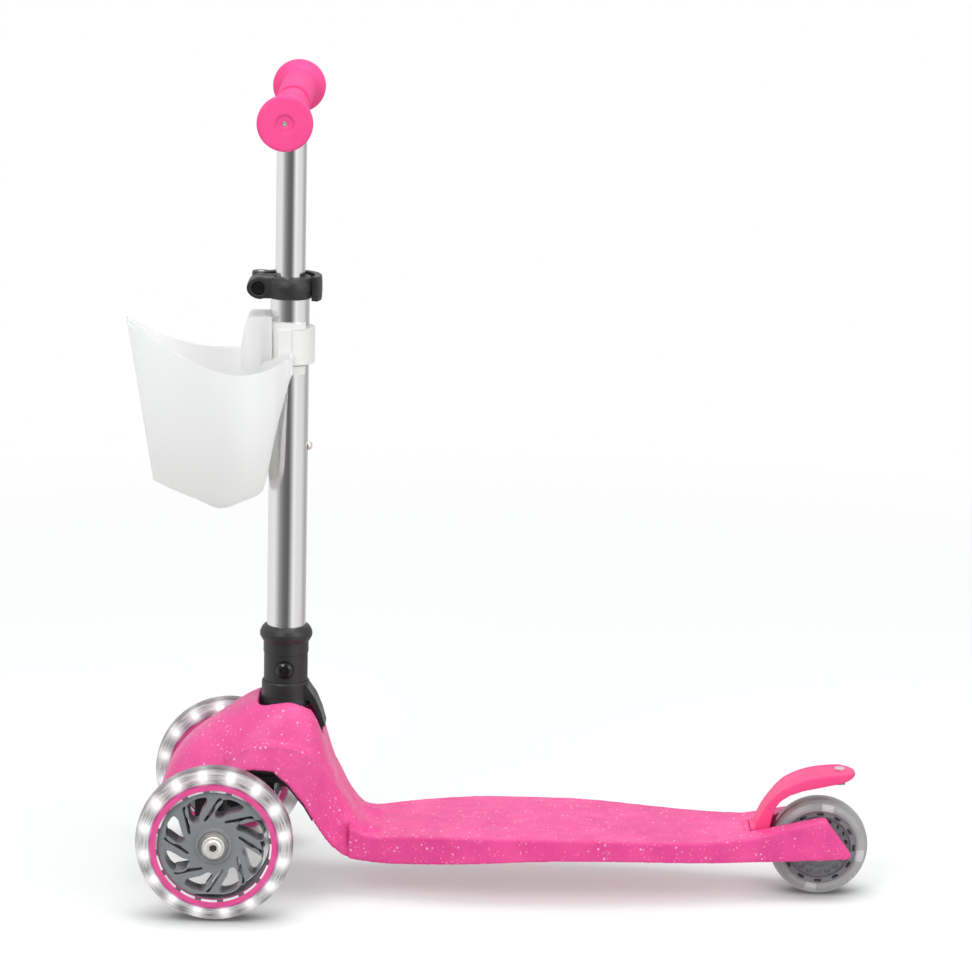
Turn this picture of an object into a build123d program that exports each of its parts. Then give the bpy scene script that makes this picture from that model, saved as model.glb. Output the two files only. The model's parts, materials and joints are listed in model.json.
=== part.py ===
"""Three-wheeled lean-to-steer kick scooter for small children, with a clip-on front basket.

Millimetres. +X is forward, +Y is the rider's left, +Z is up. The origin lies on the ground under the
middle of the outline. Each function below makes one sub-part; build() writes them all as STEP files.
"""
from build123d import *
from math import atan2, cos, degrees, pi, radians, sin, sqrt
import os

# ---------------------------------------------------------------- running gaps and general fits
RUN_FIT = 0.05          # radial gap of a shaft that turns or slides in its hole
SEAT_FIT = 0.05         # gap of a piece that is pressed or glued into its seat
SIDE_PLAY = 0.3         # end play beside a part that turns
MOVE_GAP = 1.0          # air left around a part that swings

# ---------------------------------------------------------------- layout
WHEELBASE = 466.5       # front axle to rear axle
FRONT_TRACK = 194.0     # middle of the left front tyre to middle of the right one
COLUMN_SETBACK = 48.0   # steering column behind the front axle
BASKET_REACH = 124.7    # basket's front tip ahead of the column
FRONT_WHEEL_R = 60.0
REAR_WHEEL_R = 38.5
FRONT_TYRE_W = 24.0
REAR_TYRE_W = 24.0
LEAN_PIVOT_Z = 112.0    # height of the fore-and-aft pin that the column leans about
MAX_LEAN = 11.0         # degrees either way

OVERALL = WHEELBASE - COLUMN_SETBACK + BASKET_REACH + REAR_WHEEL_R
REAR_X = REAR_WHEEL_R - OVERALL / 2
FRONT_X = REAR_X + WHEELBASE
COLUMN_X = FRONT_X - COLUMN_SETBACK
WHEEL_Y = FRONT_TRACK / 2

# ---------------------------------------------------------------- moulded deck and bonnet
SKIN = 3.0              # wall of the moulded body
DECK_THICK = 18.0       # depth of the deck's side wall
DECK_TOP_Z = 54.2       # standing face in the middle of the deck
DECK_HALF_W = 58.0      # half width at the widest place
FACE_LENGTH = 70.0      # flat stretch of the standing face
FORK_GAP = 3.0          # between the rear tyre and each cheek
CHEEK_TOP_Z = 65.2
NECK_TOP_Z = 150.5      # rim of the bonnet round the column
RIB = 2.2               # ribs under the deck
BAND_STEP = 2.4         # raised band along the wheel arch

# ---------------------------------------------------------------- column and handlebar
OUTER_TUBE_R = 15.0
OUTER_TUBE_WALL = 1.6
INNER_TUBE_R = 11.5
INNER_TUBE_WALL = 1.5
TUBE_SEAT_Z = 150.0     # bottom of the outer tube in its socket
OUTER_TUBE_TOP_Z = 471.0
BAR_Z = 611.0           # middle of the crossbar
BAR_R = 11.0
BAR_HALF = 112.0        # half length of the crossbar
GRIP_CAP = 3.0          # end wall of each grip, beyond the crossbar
GRIP_INNER_Y = 13.0     # inner end of each grip
GRIP_R = 13.4           # body of the grip
GRIP_DISC_R = 20.6      # large disc at its outer end
GRIP_RIB = 7.6          # pitch of its ribs
RAISE = 60.0            # handlebar travel up from its present height
LOWER = 85.0            # handlebar travel down
INNER_TUBE_FOOT_Z = 270.0
GUIDE_Z = 348.5         # guide screw in the outer tube
GUIDE_R = 2.0
COLLAR_R = 19.6         # foot collar of the column
SOCKET_R = 17.0
COLLAR_TOP_Z = 163.0
SOCKET_TOP_Z = 195.0
RING_TOP_Z = 207.0
BUTTON_Z = 174.3
BUTTON_R = 6.7
BUTTON_TRAVEL = 3.2

# ---------------------------------------------------------------- steering
KINGPIN_Y = 60.0
KINGPIN_R = 4.0
KNUCKLE_ARM = 35.5      # kingpin to tie rod
LEVER_DROP = 26.6       # pivot pin down to the ball that drives the tie rod
PIVOT_PIN_R = 4.0
AXLE_R = 4.0
LOWER_PLATE_Z = 42.0    # underside of the chassis
UPPER_PLATE_Z = 88.0    # underside of the chassis's upper plate
PLATE = 5.0
TIE_X = FRONT_X - KNUCKLE_ARM
BALL_Z = LEAN_PIVOT_Z - LEVER_DROP
BALL_R = 5.0

# ---------------------------------------------------------------- wheels
BEARING_R = 11.0        # 608 ball bearings: 22 mm outside, 8 mm bore, 7 mm wide
BEARING_W = 7.0
HUB_HALF_W = 11.5
SPOKES = 8
LIGHTS = 16
LIGHT_LEAD = 13.3
RING_OUT_R = 47.8       # coloured ring on each face of the front wheel
RING_IN_R = 42.6
RING_THICK = 1.2
RIM_IN_R = 37.0
HUB_R = 14.3
REAR_CORE_R = 29.0
REAR_HOLES = 18
REAR_SLOTS = 12

# ---------------------------------------------------------------- clamp
CLAMP_LOW_Z = 463.5
CLAMP_HIGH_Z = 480.0
CLAMP_R = 18.0
EAR_X = 23.0            # bolt line ahead of the column
EAR_R = 8.6
BOLT_R = 2.5
LEVER_IN_R = 18.8
LEVER_OUT_R = 24.2

# ---------------------------------------------------------------- basket
BASKET_WALL = 2.2
RIM_TIP_Z = 445.6
CLIP_LOW_Z = 406.5
CLIP_HIGH_Z = 446.0
CLIP_WALL = 3.2
CLIP_PLAY = 0.7         # between the clip's ring and the basket
STRAP_LOW_Z = 414.0
STRAP_HIGH_Z = 441.0
STRAP_WALL = 4.3

# ---------------------------------------------------------------- brake
BRAKE_PIVOT = (REAR_X + 48.0, 45.0)
BRAKE_PIN_R = 2.5
BRAKE_HALF_W = 17.0
BRAKE_ROOT_HALF_W = 13.0
BRAKE_SCREW_X = REAR_X - 14.5
PAD_TOP_Z = 91.4        # seat of the rubbing plate on its boss


def block(x0, x1, y0, y1, z0, z1):
    """Box between two corners."""
    return Pos((x0 + x1) / 2, (y0 + y1) / 2, (z0 + z1) / 2) * Box(x1 - x0, y1 - y0, z1 - z0)


def rod_x(r, x0, x1, y, z):
    """Cylinder along X."""
    return Pos((x0 + x1) / 2, y, z) * Rot(0, 90, 0) * Cylinder(r, abs(x1 - x0))


def rod_y(r, y0, y1, x, z):
    """Cylinder along Y."""
    return Pos(x, (y0 + y1) / 2, z) * Rot(90, 0, 0) * Cylinder(r, abs(y1 - y0))


def rod_z(r, z0, z1, x, y):
    """Cylinder along Z."""
    return Pos(x, y, (z0 + z1) / 2) * Cylinder(r, abs(z1 - z0))


def side_prism(points, half_width, curved=False):
    """Prism across the scooter from an outline of (x, z) points in the side view."""
    plane = Plane(origin=(0, half_width, 0), x_dir=(1, 0, 0), z_dir=(0, -1, 0))
    with BuildPart() as part:
        with BuildSketch(plane):
            with BuildLine():
                if curved:
                    Spline(*points)
                    Line(points[-1], points[0])
                else:
                    Polyline(*points, close=True)
            make_face()
        extrude(amount=2 * half_width)
    return part.part


def turned(profile, x, y, z, axis="z"):
    """Solid of revolution of closed (radius, height) points about an upright or sideways axis."""
    with BuildPart() as part:
        with BuildSketch(Plane.XZ):
            with BuildLine():
                Polyline(*profile, close=True)
            make_face()
        revolve(axis=Axis.Z)
    tilt = Rot(-90, 0, 0) if axis == "y" else Rot(0, 0, 0)
    return Pos(x, y, z) * tilt * part.part


def coil(radius, wire, pitch, height):
    """Helical spring along Z from the origin up."""
    path = Helix(pitch=pitch, height=height, radius=radius)
    start = Plane(origin=path @ 0, z_dir=path % 0)
    return sweep(start * RegularPolygon(wire, 6), path=path)


# ================================================================ deck and bonnet
def bell_section(x, top_z, top_w, shoulder_w, low_w, low_z, inset):
    """Bell-shaped cut across the bonnet at x: flat-topped, with flanks that widen downwards."""
    crown = top_z - inset
    low = low_w - inset
    shoulder = shoulder_w - inset
    top = max(top_w - inset, 1.0)
    shoulder_z = crown - (top_z - low_z) * 0.45
    flank = [
        (low, low_z),
        ((low + shoulder) / 2 + 0.5, (low_z + shoulder_z) / 2),
        (shoulder, shoulder_z),
        (top + 0.62 * (shoulder - top), crown - 0.42 * (crown - shoulder_z)),
        (top, crown - 1.2),
    ]
    points = flank + [(0, crown)] + [(-y, z) for y, z in reversed(flank)]
    plane = Plane(origin=(x, 0, 0), x_dir=(0, 1, 0), z_dir=(1, 0, 0))
    with BuildSketch(plane) as sketch:
        with BuildLine():
            Spline(*points)
            Line(points[-1], points[0])
        make_face()
    return sketch.sketch


def bonnet_form(inset=0.0):
    """Outer form of bonnet and neck, from the nose back to the deck, or the same form inset."""
    # distance from the front axle, then crown height, crown, shoulder and foot half widths, foot height
    stations = [
        (50.5, 68, 5, 11, 14, 50),
        (46.5, 80.5, 9, 24, 30, 45),
        (40.5, 96, 11, 33, 42, 40),
        (31.5, 110, 12, 40, 50, 40),
        (15.5, 125, 12, 48, 61, 40),
        (-4.5, 139, 13, 53, 67, 40),
        (-27.5, NECK_TOP_Z, 22, 54, 68, 40),
        (-43.5, NECK_TOP_Z, 32, 54, 67, 30),
        (-57.5, NECK_TOP_Z, 32, 51, 63, 25),
        (-68.5, NECK_TOP_Z - 7, 30, 47, 58, 20),
        (-77.0, 126, 27, 43, 52, 10),
        (-86.0, 97, 26, 39, 46, 0),
        (-97.0, 71, 26, 38, 44, -5),
        (-112.0, 54, 30, 41, 45, -10),
        (-127.5, 47, 30, 40, 43, -10),
    ]
    return loft([bell_section(FRONT_X + s[0], *s[1:], inset) for s in stations])


def bonnet_reach(drop=0.0):
    """Prism that keeps what lies above the bonnet's lower edge, lowered by drop."""
    edge = [(54, 60), (44, 60), (30, 80), (10, 96), (-12, 103), (-27, 105), (-41, 104), (-53, 93.5)]
    edge += [(-65, 78), (-75, 60), (-82, 48), (-88, 40), (-95, 34), (-104, 30.8), (-114, 29.5), (-128, 29.2)]
    points = [(FRONT_X + x, z - drop) for x, z in edge]
    return side_prism([(FRONT_X - 128, 200), (FRONT_X + 54, 200)] + points, 90)


def deck_profile(lower_top, extra_depth):
    """Side view of the deck: a gentle crown with a flat standing face, rising to the rear cheeks."""
    face = REAR_X + 228.0
    top = [
        (REAR_X + 58.0, 51.5),
        (REAR_X + 95.0, 50.6),
        (REAR_X + 140.0, 51.9),
        (face - FACE_LENGTH / 2 - 16, DECK_TOP_Z - 0.45),
        (face - FACE_LENGTH / 2, DECK_TOP_Z),
    ]
    front = [
        (face + FACE_LENGTH / 2, DECK_TOP_Z),
        (face + FACE_LENGTH / 2 + 20, DECK_TOP_Z - 0.6),
        (FRONT_X - 136.0, 51.0),
        (FRONT_X - 113.0, 51.0),
        (FRONT_X - 100.0, 60.0),
    ]
    under = [
        (FRONT_X - 100.0, 32.0),
        (FRONT_X - 114.0, 29.5),
        (FRONT_X - 140.0, 29.3),
        (face, DECK_TOP_Z - DECK_THICK),
        (REAR_X + 150.0, 36.5),
        (REAR_X + 95.0, 34.0),
        (REAR_X + 44.0, 33.0),
        (REAR_X - 21.0, 33.5),
    ]
    cheek = [
        (REAR_X - 24.5, 36.5),
        (REAR_X - 3.5, CHEEK_TOP_Z),
        (REAR_X + 0.5, CHEEK_TOP_Z),
        (REAR_X + 32.0, CHEEK_TOP_Z - 7.6),
        (REAR_X + 58.0, 51.5),
    ]

    def lowered(points, by):
        return [(x, z - by) for x, z in points]

    with BuildPart() as part:
        with BuildSketch(Plane(origin=(0, 80, 0), x_dir=(1, 0, 0), z_dir=(0, -1, 0))):
            with BuildLine():
                rear_top = lowered(top, lower_top)
                front_top = lowered(front, lower_top)
                floor = lowered(under, extra_depth)
                ends = lowered(cheek, lower_top)
                Spline(*rear_top)
                Line(rear_top[-1], front_top[0])
                Spline(*front_top)
                Line(front_top[-1], floor[0])
                Spline(*floor)
                Line(floor[-1], ends[0])
                Polyline(*ends)
            make_face()
        extrude(amount=160)
    return part.part


def deck_plan(inset=0.0):
    """Plan view of the deck: slim at the waist, full in the middle, tapering to the rear cheeks."""
    half = [
        (REAR_X - 26.0, 24.5),
        (REAR_X, 28.5),
        (REAR_X + 32.0, 32.5),
        (REAR_X + 62.0, 38.0),
        (REAR_X + 98.0, 45.0),
        (REAR_X + 140.0, 52.0),
        (REAR_X + 180.0, 56.5),
        (REAR_X + 220.0, DECK_HALF_W),
        (FRONT_X - 195.0, 57.0),
        (FRONT_X - 160.0, 51.5),
        (FRONT_X - 130.0, 46.0),
        (FRONT_X - 113.0, 44.0),
        (FRONT_X - 98.0, 44.0),
    ]
    left = [(x, y - inset) for x, y in half]
    right = [(x, -y) for x, y in reversed(left)]
    with BuildPart() as part:
        with BuildSketch(Plane.XY):
            with BuildLine():
                Spline(*left)
                Line(left[-1], right[0])
                Spline(*right)
                Line(right[-1], left[0])
            make_face()
        extrude(amount=120)
    return part.part


def fork_slot():
    """Space for the rear wheel and the root of the brake."""
    half = REAR_TYRE_W / 2 + FORK_GAP
    wheel = block(REAR_X - 60, REAR_X + REAR_WHEEL_R + 4, -half, half, 0, 120)
    brake = block(REAR_X + 30, BRAKE_PIVOT[0] + 9.5, -half, half, 0, 120)
    return wheel + brake


def column_opening():
    """Hole in the bonnet's top that lets the column lean, with the notch behind it."""
    sway = (NECK_TOP_Z - LEAN_PIVOT_Z) * sin(radians(MAX_LEAN))
    half = COLLAR_R + sway + MOVE_GAP
    r = COLLAR_R + 0.6
    with BuildPart() as part:
        with BuildSketch(Plane.XY.offset(UPPER_PLATE_Z)):
            with Locations((COLUMN_X, 0)):
                Rectangle(2 * r, 2 * half)
            fillet(vertices(), 9.0)
        extrude(amount=90)
    notch = Plane(origin=(COLUMN_X - 8, 0, 0), x_dir=(0, -1, 0), z_dir=(-1, 0, 0))
    with BuildPart() as rear:
        with BuildSketch(notch):
            with BuildLine():
                Polyline((-16.5, 124), (16.5, 124), (26, 165), (-26, 165), close=True)
            make_face()
        extrude(amount=36)
    return part.part + rear.part


def screw_places():
    """Where the four chassis screws stand."""
    return [(x, y) for x, reach in ((FRONT_X + 9.0, 14.0), (COLUMN_X - 6.0, 35.0)) for y in (reach, -reach)]


def arch_band():
    """Raised band that follows the wheel arch from the deck up to the bonnet's flank."""
    upper = [(-5, 112), (-18, 120.5), (-29, 123.3), (-44, 124.5), (-59, 121.5), (-71.5, 113.5)]
    upper += [(-82, 99), (-93, 82), (-106, 60), (-113.5, 52)]
    lower = [(-113.5, 20), (-60, 20), (-5, 80)]
    points = [(FRONT_X + x, z) for x, z in upper + lower]
    return side_prism(points, 90)


def deck_body():
    """One moulding: deck, rear fork, neck and bonnet, hollow from below, ribbed under the deck."""
    reach = bonnet_reach()
    bonnet = bonnet_form() & reach
    band = bonnet_form(-BAND_STEP) & reach & arch_band()
    slab = deck_profile(0, 0) & deck_plan()
    body = bonnet + band + slab
    hollow = bonnet_form(SKIN) & block(FRONT_X - 111.9, FRONT_X + 50.5 - SKIN, -90, 90, -5, 200)
    body -= hollow
    tray = deck_profile(SKIN + 0.5, 20) & deck_plan(SKIN)
    tray &= block(REAR_X + 64, FRONT_X - 100.0, -90, 90, -5, 120)
    ribs = Part()
    for y in (-30.0, 0.0, 30.0):
        ribs += block(REAR_X + 60, FRONT_X - 108, y - RIB / 2, y + RIB / 2, 38, 60)
    for i in range(7):
        x = REAR_X + 92 + i * 40.0
        ribs += block(x - RIB / 2, x + RIB / 2, -60, 60, 40, 60)
    body -= tray - ribs
    body -= fork_slot()
    body -= column_opening()
    for x, y in screw_places():
        boss = rod_z(5.0, UPPER_PLATE_Z + PLATE, 160, x, y) & bonnet_form(SKIN / 2)
        body += boss
        body -= rod_z(1.6, UPPER_PLATE_Z, UPPER_PLATE_Z + PLATE + 16, x, y)
    body -= rod_y(AXLE_R + SEAT_FIT, -22.5, 22.5, REAR_X, REAR_WHEEL_R)
    body -= rod_y(BRAKE_PIN_R + SEAT_FIT, -22.5, 22.5, *BRAKE_PIVOT)
    return body


def front_chassis():
    """Black frame under the bonnet: two plates for the kingpins and two lugs for the lean pivot."""
    tower_front = COLUMN_X + 23.5
    tower_rear = COLUMN_X - 22.0
    chassis = Part()
    for z in (LOWER_PLATE_Z, UPPER_PLATE_Z):
        plate = block(FRONT_X - 10, FRONT_X + 10, -KINGPIN_Y, KINGPIN_Y, z, z + PLATE)
        for y in (-KINGPIN_Y, KINGPIN_Y):
            plate += rod_z(11, z, z + PLATE, FRONT_X, y)
        plate += block(FRONT_X - 10, FRONT_X + 20, -26, 26, z, z + PLATE)
        chassis += plate
    chassis += block(FRONT_X + 16, FRONT_X + 20, -26, 26, LOWER_PLATE_Z, UPPER_PLATE_Z + PLATE)
    for y in (-26, 22):
        chassis += block(FRONT_X - 10, FRONT_X + 20, y, y + 4, LOWER_PLATE_Z, UPPER_PLATE_Z + PLATE)
    chassis += block(COLUMN_X - 26, FRONT_X, -32, 32, UPPER_PLATE_Z, UPPER_PLATE_Z + PLATE)
    chassis += block(COLUMN_X - 14, COLUMN_X + 2, -41, 41, UPPER_PLATE_Z, UPPER_PLATE_Z + PLATE)
    for x in (tower_front, tower_rear - 6):
        tower = block(x, x + 6, -13, 13, UPPER_PLATE_Z, LEAN_PIVOT_Z)
        tower += rod_x(13, x, x + 6, 0, LEAN_PIVOT_Z)
        chassis += tower
    well = block(COLUMN_X - 13, TIE_X + 9, -14, 14, UPPER_PLATE_Z - 1, UPPER_PLATE_Z + PLATE + 1)
    chassis -= well
    chassis -= rod_x(PIVOT_PIN_R + SEAT_FIT, COLUMN_X - 40, COLUMN_X + 40, 0, LEAN_PIVOT_Z)
    for y in (-KINGPIN_Y, KINGPIN_Y):
        chassis -= rod_z(KINGPIN_R + SEAT_FIT, LOWER_PLATE_Z - 1, UPPER_PLATE_Z + PLATE + 1, FRONT_X, y)
    for x, y in screw_places():
        chassis -= rod_z(2.2, UPPER_PLATE_Z - 1, UPPER_PLATE_Z + PLATE + 1, x, y)
    return chassis


def arch_liner():
    """Dark inner fender that shows as a thin lip below the bonnet's edge."""
    shell = bonnet_form(SKIN + 0.3) - bonnet_form(SKIN + 2.1)
    keep = side_prism(
        [(FRONT_X + x, z) for x, z in [(-20, 140), (-72, 140), (-72, 20), (-60, 20), (-20, 60)]], 90)
    shell = shell & bonnet_reach(4.0) & keep
    below = block(COLUMN_X - 60, FRONT_X, -90, 90, 0, UPPER_PLATE_Z + PLATE + 14)
    shell = shell & below
    inside = block(COLUMN_X - 60, FRONT_X, -34, 34, 0, 200)
    return shell - inside


def pivot_pin():
    return rod_x(PIVOT_PIN_R, COLUMN_X - 29.5, COLUMN_X + 31, 0, LEAN_PIVOT_Z)


def kingpins():
    """Two upright pins, each with a flat head under the chassis."""
    pins = Part()
    for y in (-KINGPIN_Y, KINGPIN_Y):
        pins += rod_z(KINGPIN_R, LOWER_PLATE_Z - 2, UPPER_PLATE_Z + PLATE + 2, FRONT_X, y)
        pins += rod_z(6.5, LOWER_PLATE_Z - 3, LOWER_PLATE_Z, FRONT_X, y)
    return pins


def chassis_screws():
    screws = Part()
    for x, y in screw_places():
        screws += rod_z(1.55, UPPER_PLATE_Z - 0.5, UPPER_PLATE_Z + PLATE + 14, x, y)
        screws += rod_z(3.6, UPPER_PLATE_Z - 2.6, UPPER_PLATE_Z, x, y)
    return screws


def lean_spring(side):
    """Centring spring between the chassis and the column's side arm."""
    foot = UPPER_PLATE_Z + PLATE + 0.9
    return Pos(COLUMN_X, side * 19.5, foot) * coil(3.6, 0.8, 2.6, 9.0)


def rear_axle():
    return rod_y(AXLE_R, -22, 22, REAR_X, REAR_WHEEL_R)


def rear_spacers():
    """Short sleeves that keep the rear wheel in the middle of its fork."""
    outer = REAR_TYRE_W / 2 + FORK_GAP
    sleeves = Part()
    for side in (-1, 1):
        sleeve = rod_y(6.5, side * (HUB_HALF_W + 0.1), side * (outer - 0.05), REAR_X, REAR_WHEEL_R)
        sleeves += sleeve - rod_y(AXLE_R + SEAT_FIT, -20, 20, REAR_X, REAR_WHEEL_R)
    return sleeves


def brake_pin():
    return rod_y(BRAKE_PIN_R, -21, 21, *BRAKE_PIVOT)


def brake_spring():
    """Torsion spring round the brake's pin."""
    x, z = BRAKE_PIVOT
    return Pos(x, 10.7, z) * Rot(-90, 0, 0) * coil(3.6, 0.7, 1.7, 3.4)


# ================================================================ column
def steering_base():
    """Foot of the column: pivot barrel, round collar, rear saddle, drive lever and spring arms."""
    base = rod_x(10.5, COLUMN_X - 21.7, COLUMN_X + 23.2, 0, LEAN_PIVOT_Z)
    waist = COLLAR_R - 1.1
    collar = [(0, LEAN_PIVOT_Z), (14, LEAN_PIVOT_Z), (14, 138), (16.5, 142.5), (COLLAR_R, 144.5)]
    collar += [(COLLAR_R, 147), (COLLAR_R - 0.7, 150), (waist, 154), (waist, COLLAR_TOP_Z - 1.2)]
    collar += [(waist - 0.8, COLLAR_TOP_Z), (0, COLLAR_TOP_Z)]
    base += turned(collar, COLUMN_X, 0, 0)
    saddle = [(-17, 160), (-19.8, 156), (-24, 150), (-28.2, 140), (-31.6, 128.5), (-28, 128.5)]
    saddle += [(-24.6, 139), (-20, 148), (-14, 150), (-10, 158)]
    base += side_prism([(COLUMN_X + x, z) for x, z in saddle], 12)
    lever = [(-7, LEAN_PIVOT_Z), (9, LEAN_PIVOT_Z), (TIE_X - COLUMN_X + 4, BALL_Z + 2)]
    lever += [(TIE_X - COLUMN_X - 2, BALL_Z - 3), (TIE_X - COLUMN_X - 5, BALL_Z + 1)]
    base += side_prism([(COLUMN_X + x, z) for x, z in lever], 3.4)
    base += Pos(TIE_X, 0, BALL_Z) * Sphere(BALL_R)
    base += block(COLUMN_X - 6, COLUMN_X + 6, -24, 24, 104.5, 109.5)
    base -= rod_z(OUTER_TUBE_R + SEAT_FIT, TUBE_SEAT_Z, COLLAR_TOP_Z + 1, COLUMN_X, 0)
    base -= rod_x(PIVOT_PIN_R + RUN_FIT, COLUMN_X - 40, COLUMN_X + 40, 0, LEAN_PIVOT_Z)
    return base


def socket_body():
    """Straight sleeve of the socket, with the side hole for the release button."""
    step = SOCKET_TOP_Z - 9.5
    profile = [(OUTER_TUBE_R + SEAT_FIT, COLLAR_TOP_Z), (SOCKET_R, COLLAR_TOP_Z), (SOCKET_R, step - 0.5)]
    profile += [(SOCKET_R + 0.5, step), (SOCKET_R + 0.5, SOCKET_TOP_Z)]
    profile.append((OUTER_TUBE_R + SEAT_FIT, SOCKET_TOP_Z))
    sleeve = turned(profile, COLUMN_X, 0, 0)
    return sleeve - rod_y(BUTTON_R + 0.2, 5, 30, COLUMN_X, BUTTON_Z)


def socket_ring():
    """Flared ring at the socket's mouth."""
    inner = OUTER_TUBE_R + SEAT_FIT
    wide = SOCKET_R + 3.3
    profile = [(inner, SOCKET_TOP_Z), (wide - 1.9, SOCKET_TOP_Z), (wide, SOCKET_TOP_Z + 3.6)]
    profile += [(wide, SOCKET_TOP_Z + 6.4), (wide - 1.1, RING_TOP_Z - 2.8), (wide - 2.7, RING_TOP_Z - 0.8)]
    profile += [(wide - 4.2, RING_TOP_Z), (inner, RING_TOP_Z)]
    return turned(profile, COLUMN_X, 0, 0)


def outer_tube():
    inner = OUTER_TUBE_R - OUTER_TUBE_WALL
    tube = rod_z(OUTER_TUBE_R, TUBE_SEAT_Z, OUTER_TUBE_TOP_Z, COLUMN_X, 0)
    tube -= rod_z(inner, TUBE_SEAT_Z - 1, OUTER_TUBE_TOP_Z + 1, COLUMN_X, 0)
    tube -= rod_y(BUTTON_R + 0.2, 5, 30, COLUMN_X, BUTTON_Z)
    tube -= rod_x(GUIDE_R + SEAT_FIT, COLUMN_X - 30, COLUMN_X - 5, 0, GUIDE_Z)
    return tube


def tube_bushing():
    """Plastic sleeve in the top of the outer tube, with a lip over its edge."""
    outer = OUTER_TUBE_R - OUTER_TUBE_WALL - SEAT_FIT
    inner = INNER_TUBE_R + RUN_FIT
    lip = OUTER_TUBE_TOP_Z + 1.2
    profile = [(inner, 446), (outer, 446), (outer, OUTER_TUBE_TOP_Z), (OUTER_TUBE_R - 0.3, OUTER_TUBE_TOP_Z)]
    profile += [(OUTER_TUBE_R - 0.3, lip), (inner, lip)]
    return turned(profile, COLUMN_X, 0, 0)


def guide_screw():
    """Dome-headed screw in the tube's rear wall; its tip runs in the inner tube's slot."""
    head = Pos(COLUMN_X - OUTER_TUBE_R + 0.2, 0, GUIDE_Z) * Sphere(3.6)
    head &= block(COLUMN_X - 30, COLUMN_X - OUTER_TUBE_R + 0.15, -5, 5, GUIDE_Z - 5, GUIDE_Z + 5)
    head -= rod_z(OUTER_TUBE_R, GUIDE_Z - 10, GUIDE_Z + 10, COLUMN_X, 0)
    inner = COLUMN_X - INNER_TUBE_R + INNER_TUBE_WALL + 0.6
    tip = rod_x(GUIDE_R, COLUMN_X - OUTER_TUBE_R - 2, inner, 0, GUIDE_Z)
    return head + tip


def clamp_collar():
    """Split collar on the tube's top, bulged outside, with two ears for the clamp bolt."""
    mid = (CLAMP_LOW_Z + CLAMP_HIGH_Z) / 2
    bore = OUTER_TUBE_R + SEAT_FIT
    lip = OUTER_TUBE_TOP_Z + 1.3
    cap = INNER_TUBE_R + 0.5
    profile = [(bore, CLAMP_LOW_Z), (16.6, CLAMP_LOW_Z), (17.6, CLAMP_LOW_Z + 3), (CLAMP_R, mid - 2)]
    profile += [(CLAMP_R, mid + 2), (17.6, CLAMP_HIGH_Z - 3), (16.2, CLAMP_HIGH_Z - 0.6), (15, CLAMP_HIGH_Z)]
    profile += [(cap + 0.6, CLAMP_HIGH_Z), (cap, CLAMP_HIGH_Z - 0.6), (cap, lip), (bore, lip)]
    collar = turned(profile, COLUMN_X, 0, 0)
    bolt_x = COLUMN_X + EAR_X
    for y0, y1 in ((1.0, 12.5), (-8.5, -1.0)):
        ear = rod_y(EAR_R, y0, y1, bolt_x, mid + 0.3)
        ear += block(COLUMN_X + 13, bolt_x, y0, y1, mid - EAR_R + 0.9, mid + EAR_R - 0.3)
        collar += ear
    collar -= rod_z(bore, CLAMP_LOW_Z - 1, lip, COLUMN_X, 0)
    collar -= rod_z(cap, CLAMP_LOW_Z - 1, CLAMP_HIGH_Z + 3, COLUMN_X, 0)
    collar -= block(COLUMN_X + 5, COLUMN_X + 40, -1, 1, CLAMP_LOW_Z - 2, CLAMP_HIGH_Z + 2)
    collar -= rod_y(BOLT_R + 0.15, -20, 20, bolt_x, mid)
    collar -= rod_y(5.2, 9.5, 20, bolt_x, mid)
    return collar


def clamp_bolt():
    """Eye bolt through both ears; its eye sits on the lever's upright pin."""
    mid = (CLAMP_LOW_Z + CLAMP_HIGH_Z) / 2
    bolt_x = COLUMN_X + EAR_X
    bolt = rod_y(BOLT_R, -16, 10, bolt_x, mid)
    bolt += rod_y(4.6, 9.6, 11.6, bolt_x, mid)
    bolt += rod_z(4.6, mid - 3, mid + 3, bolt_x, -16)
    bolt -= rod_z(BOLT_R + RUN_FIT, mid - 4, mid + 4, bolt_x, -16)
    bolt -= rod_y(2.2, 10.4, 12, bolt_x, mid)
    return bolt


def clamp_lever():
    """Quick-release lever: forked head on the pin and a handle that hugs the collar's far side."""
    mid = (CLAMP_LOW_Z + CLAMP_HIGH_Z) / 2
    bolt_x = COLUMN_X + EAR_X
    head = rod_z(7.0, mid - 9, mid + 9, bolt_x, -16)
    with BuildPart() as arc:
        with BuildSketch(Plane.XY.offset(mid - 9.5)):
            Circle(LEVER_OUT_R)
            Circle(LEVER_IN_R, mode=Mode.SUBTRACT)
        extrude(amount=19)
    with BuildPart() as sector:
        with BuildSketch(Plane.XY.offset(mid - 12)):
            Polygon((0, 0), (60, -42), (60, -80), (-80, -80), (-80, 46), align=None)
        extrude(amount=24)
    handle = Pos(COLUMN_X, 0, 0) * (arc.part & sector.part)
    lever = head + handle
    lever -= block(COLUMN_X, COLUMN_X + 40, -8.5 - 0.4, 20, mid - 12, mid + 12)
    gap = rod_z(7.6, mid - 3.3, mid + 3.3, bolt_x, -16)
    gap += block(bolt_x - 3, bolt_x + 3, -16, 0, mid - 3.3, mid + 3.3)
    lever -= gap
    lever -= rod_z(BOLT_R + SEAT_FIT, mid - 12, mid + 12, bolt_x, -16)
    return lever


def clamp_pin():
    mid = (CLAMP_LOW_Z + CLAMP_HIGH_Z) / 2
    return rod_z(BOLT_R, mid - 9, mid + 9, COLUMN_X + EAR_X, -16)


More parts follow.
